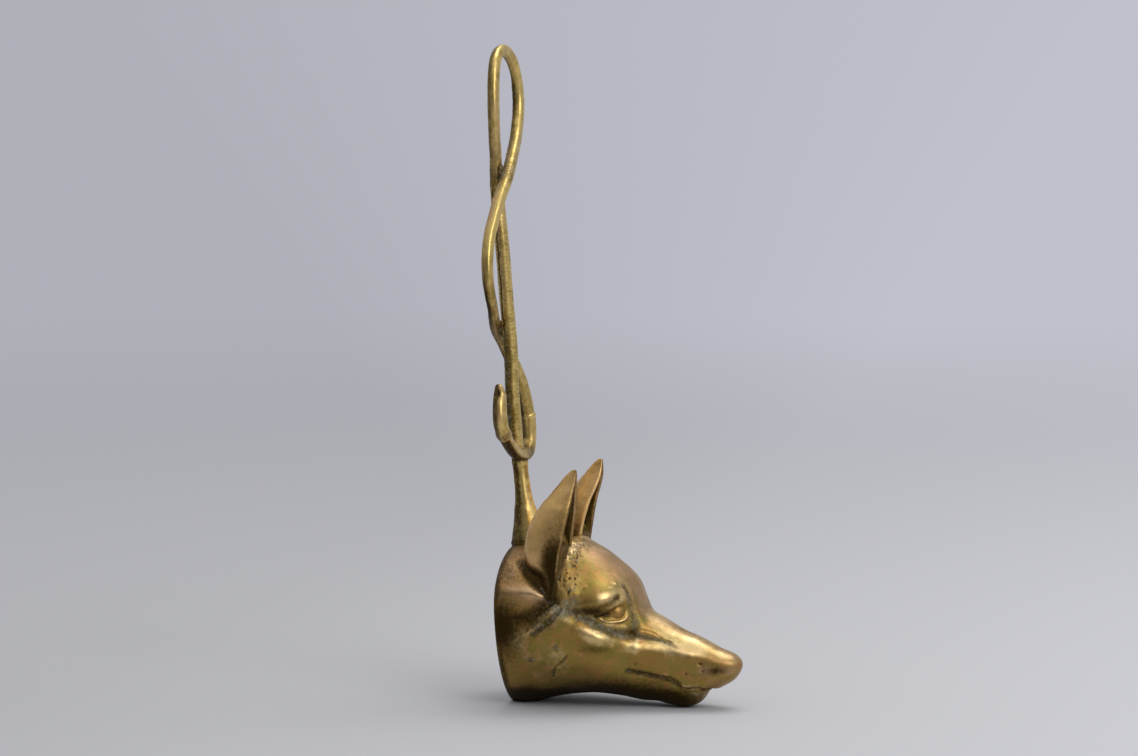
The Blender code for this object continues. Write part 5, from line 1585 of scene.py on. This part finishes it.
class DOORSTOP_OT_head(bpy.types.Operator):
    """Model the hollow fox's head and its eyes."""

    bl_idname = "doorstop.head"
    bl_label = "Fox head"

    def execute(self, context):
        rings, masks = build_head()
        head = wrap("fox_head_casting", rings, masks)
        dress(head, finish_of("head_brass"), "worn_brass", "fox_head")
        diameter = context.scene.doorstop_sizes.eye_diameter
        for name, side in (("right_eye", -1), ("left_eye", 1)):
            dress(eyeball(name, side, diameter), finish_of("head_brass"), "worn_brass")
        pad = turned("stud_pad", PAD_PROFILE, 48)
        dress(pad, finish_of("head_brass"), "worn_brass")
        return {"FINISHED"}


class DOORSTOP_OT_ears(bpy.types.Operator):
    """Model both cupped ears."""

    bl_idname = "doorstop.ears"
    bl_label = "Ears"

    def execute(self, context):
        tree = head_tree()
        for name, side, slimmer in (("right_ear", -1, 0.0), ("left_ear", 1, 1.0)):
            ear = build_ear(f"{name}_casting", side, slimmer, tree)
            dress(ear, finish_of("ear_brass"), "worn_brass", name)
        return {"FINISHED"}


class DOORSTOP_OT_stem(bpy.types.Operator):
    """Model the stem that carries the whip."""

    bl_idname = "doorstop.stem"
    bl_label = "Stem"

    def execute(self, context):
        stem = wrap("handle_stem_casting", *build_stem())
        dress(stem, finish_of("handle_brass"), "dull_brass", "handle_stem")
        return {"FINISHED"}


class DOORSTOP_OT_whip(bpy.types.Operator):
    """Model the whip: stock, lash with its hand loop, crook and butt, and the solder between them."""

    bl_idname = "doorstop.whip"
    bl_label = "Whip"

    def execute(self, context):
        brass = finish_of("handle_brass")
        stock = build_rod("whip_stock_bar", 0, STOCK_END, STOCK_SIZES, 0.35, stock_finish)
        dress(stock, brass, "worn_brass", "whip_stock")
        lash = build_rod("lash_bar", STOCK_END, LASH_END, LASH_SIZES, 0.35, lash_finish)
        dress(lash, brass, "worn_brass", "lash")
        crook = build_rod("crook_bar", LASH_END, CROOK_END, CROOK_SIZES, 0.3, crook_finish)
        dress(crook, brass, "dull_brass", "crook")
        butt = build_rod("crook_butt_bar", CROOK_END, BUTT_END, BUTT_SIZES, 0.35, butt_finish)
        dress(butt, brass, "dull_brass", "crook_butt")
        for name, shape in SOLDER.items():
            dress(solder(name, *shape), brass, "dull_brass")
        return {"FINISHED"}


class DOORSTOP_OT_fixing(bpy.types.Operator):
    """Model the stud, washer and nut that hold the stem."""

    bl_idname = "doorstop.fixing"
    bl_label = "Stud and nut"

    def execute(self, context):
        brass = finish_of("fixing_brass")
        stud = turned("tie_stud_thread", stud_profile(), 40)
        dress(stud, brass, "dark_brass", "tie_stud")
        washer = turned("stud_washer_ring", WASHER_PROFILE, 48)
        dress(washer, brass, "dark_brass", "stud_washer")
        nut = build_nut("stud_nut_hexagon", context.scene.doorstop_sizes.nut_across / MM)
        dress(nut, brass, "dark_brass", "stud_nut")
        return {"FINISHED"}


class DOORSTOP_OT_stage(bpy.types.Operator):
    """Set the floor, the lamps and the camera."""

    bl_idname = "doorstop.stage"
    bl_label = "Stage"

    def execute(self, context):
        scene = context.scene
        finish = scene.doorstop_finish
        scene.view_settings.view_transform = "Standard"
        bm = bmesh.new()
        radius = scene.doorstop_sizes.floor_radius
        bmesh.ops.create_circle(bm, cap_ends=True, segments=96, radius=radius)
        mesh = bpy.data.meshes.new("floor")
        bm.to_mesh(mesh)
        bm.free()
        floor = linked("floor", mesh)
        floor.data.materials.append(floor_material(tuple(finish.floor), tuple(finish.backdrop)))
        make_world(tuple(finish.backdrop))
        for name, lamp in LAMPS.items():
            area_light(name, *lamp)
        make_camera()
        return {"FINISHED"}


class DOORSTOP_PT_panel(bpy.types.Panel):
    """Lists the doorstop's pieces."""

    bl_idname = "DOORSTOP_PT_panel"
    bl_label = "Brass doorstop"
    bl_space_type = "VIEW_3D"
    bl_region_type = "UI"
    bl_category = "Doorstop"

    def draw(self, context):
        for group in (context.scene.doorstop_sizes, context.scene.doorstop_finish):
            for key in group.__annotations__:
                self.layout.prop(group, key)
        for operator in OPERATORS:
            self.layout.operator(operator.bl_idname)


OPERATORS = (
    DOORSTOP_OT_head, DOORSTOP_OT_ears, DOORSTOP_OT_stem, DOORSTOP_OT_whip, DOORSTOP_OT_fixing,
    DOORSTOP_OT_stage,
)
CLASSES = (DoorstopSizes, DoorstopFinish, *OPERATORS, DOORSTOP_PT_panel)


def register():
    """Adds the doorstop's classes and settings."""
    for each in CLASSES:
        bpy.utils.register_class(each)
    bpy.types.Scene.doorstop_sizes = bpy.props.PointerProperty(type=DoorstopSizes)
    bpy.types.Scene.doorstop_finish = bpy.props.PointerProperty(type=DoorstopFinish)


def unregister():
    """Removes the doorstop's classes and settings."""
    del bpy.types.Scene.doorstop_finish
    del bpy.types.Scene.doorstop_sizes
    for each in reversed(CLASSES):
        bpy.utils.unregister_class(each)


def main():
    """Builds and dresses the doorstop, then its stage."""
    register()
    bpy.ops.doorstop.head()
    bpy.ops.doorstop.ears()
    bpy.ops.doorstop.stem()
    bpy.ops.doorstop.whip()
    bpy.ops.doorstop.fixing()
    bpy.ops.doorstop.stage()


if __name__ == "__main__":
    main()
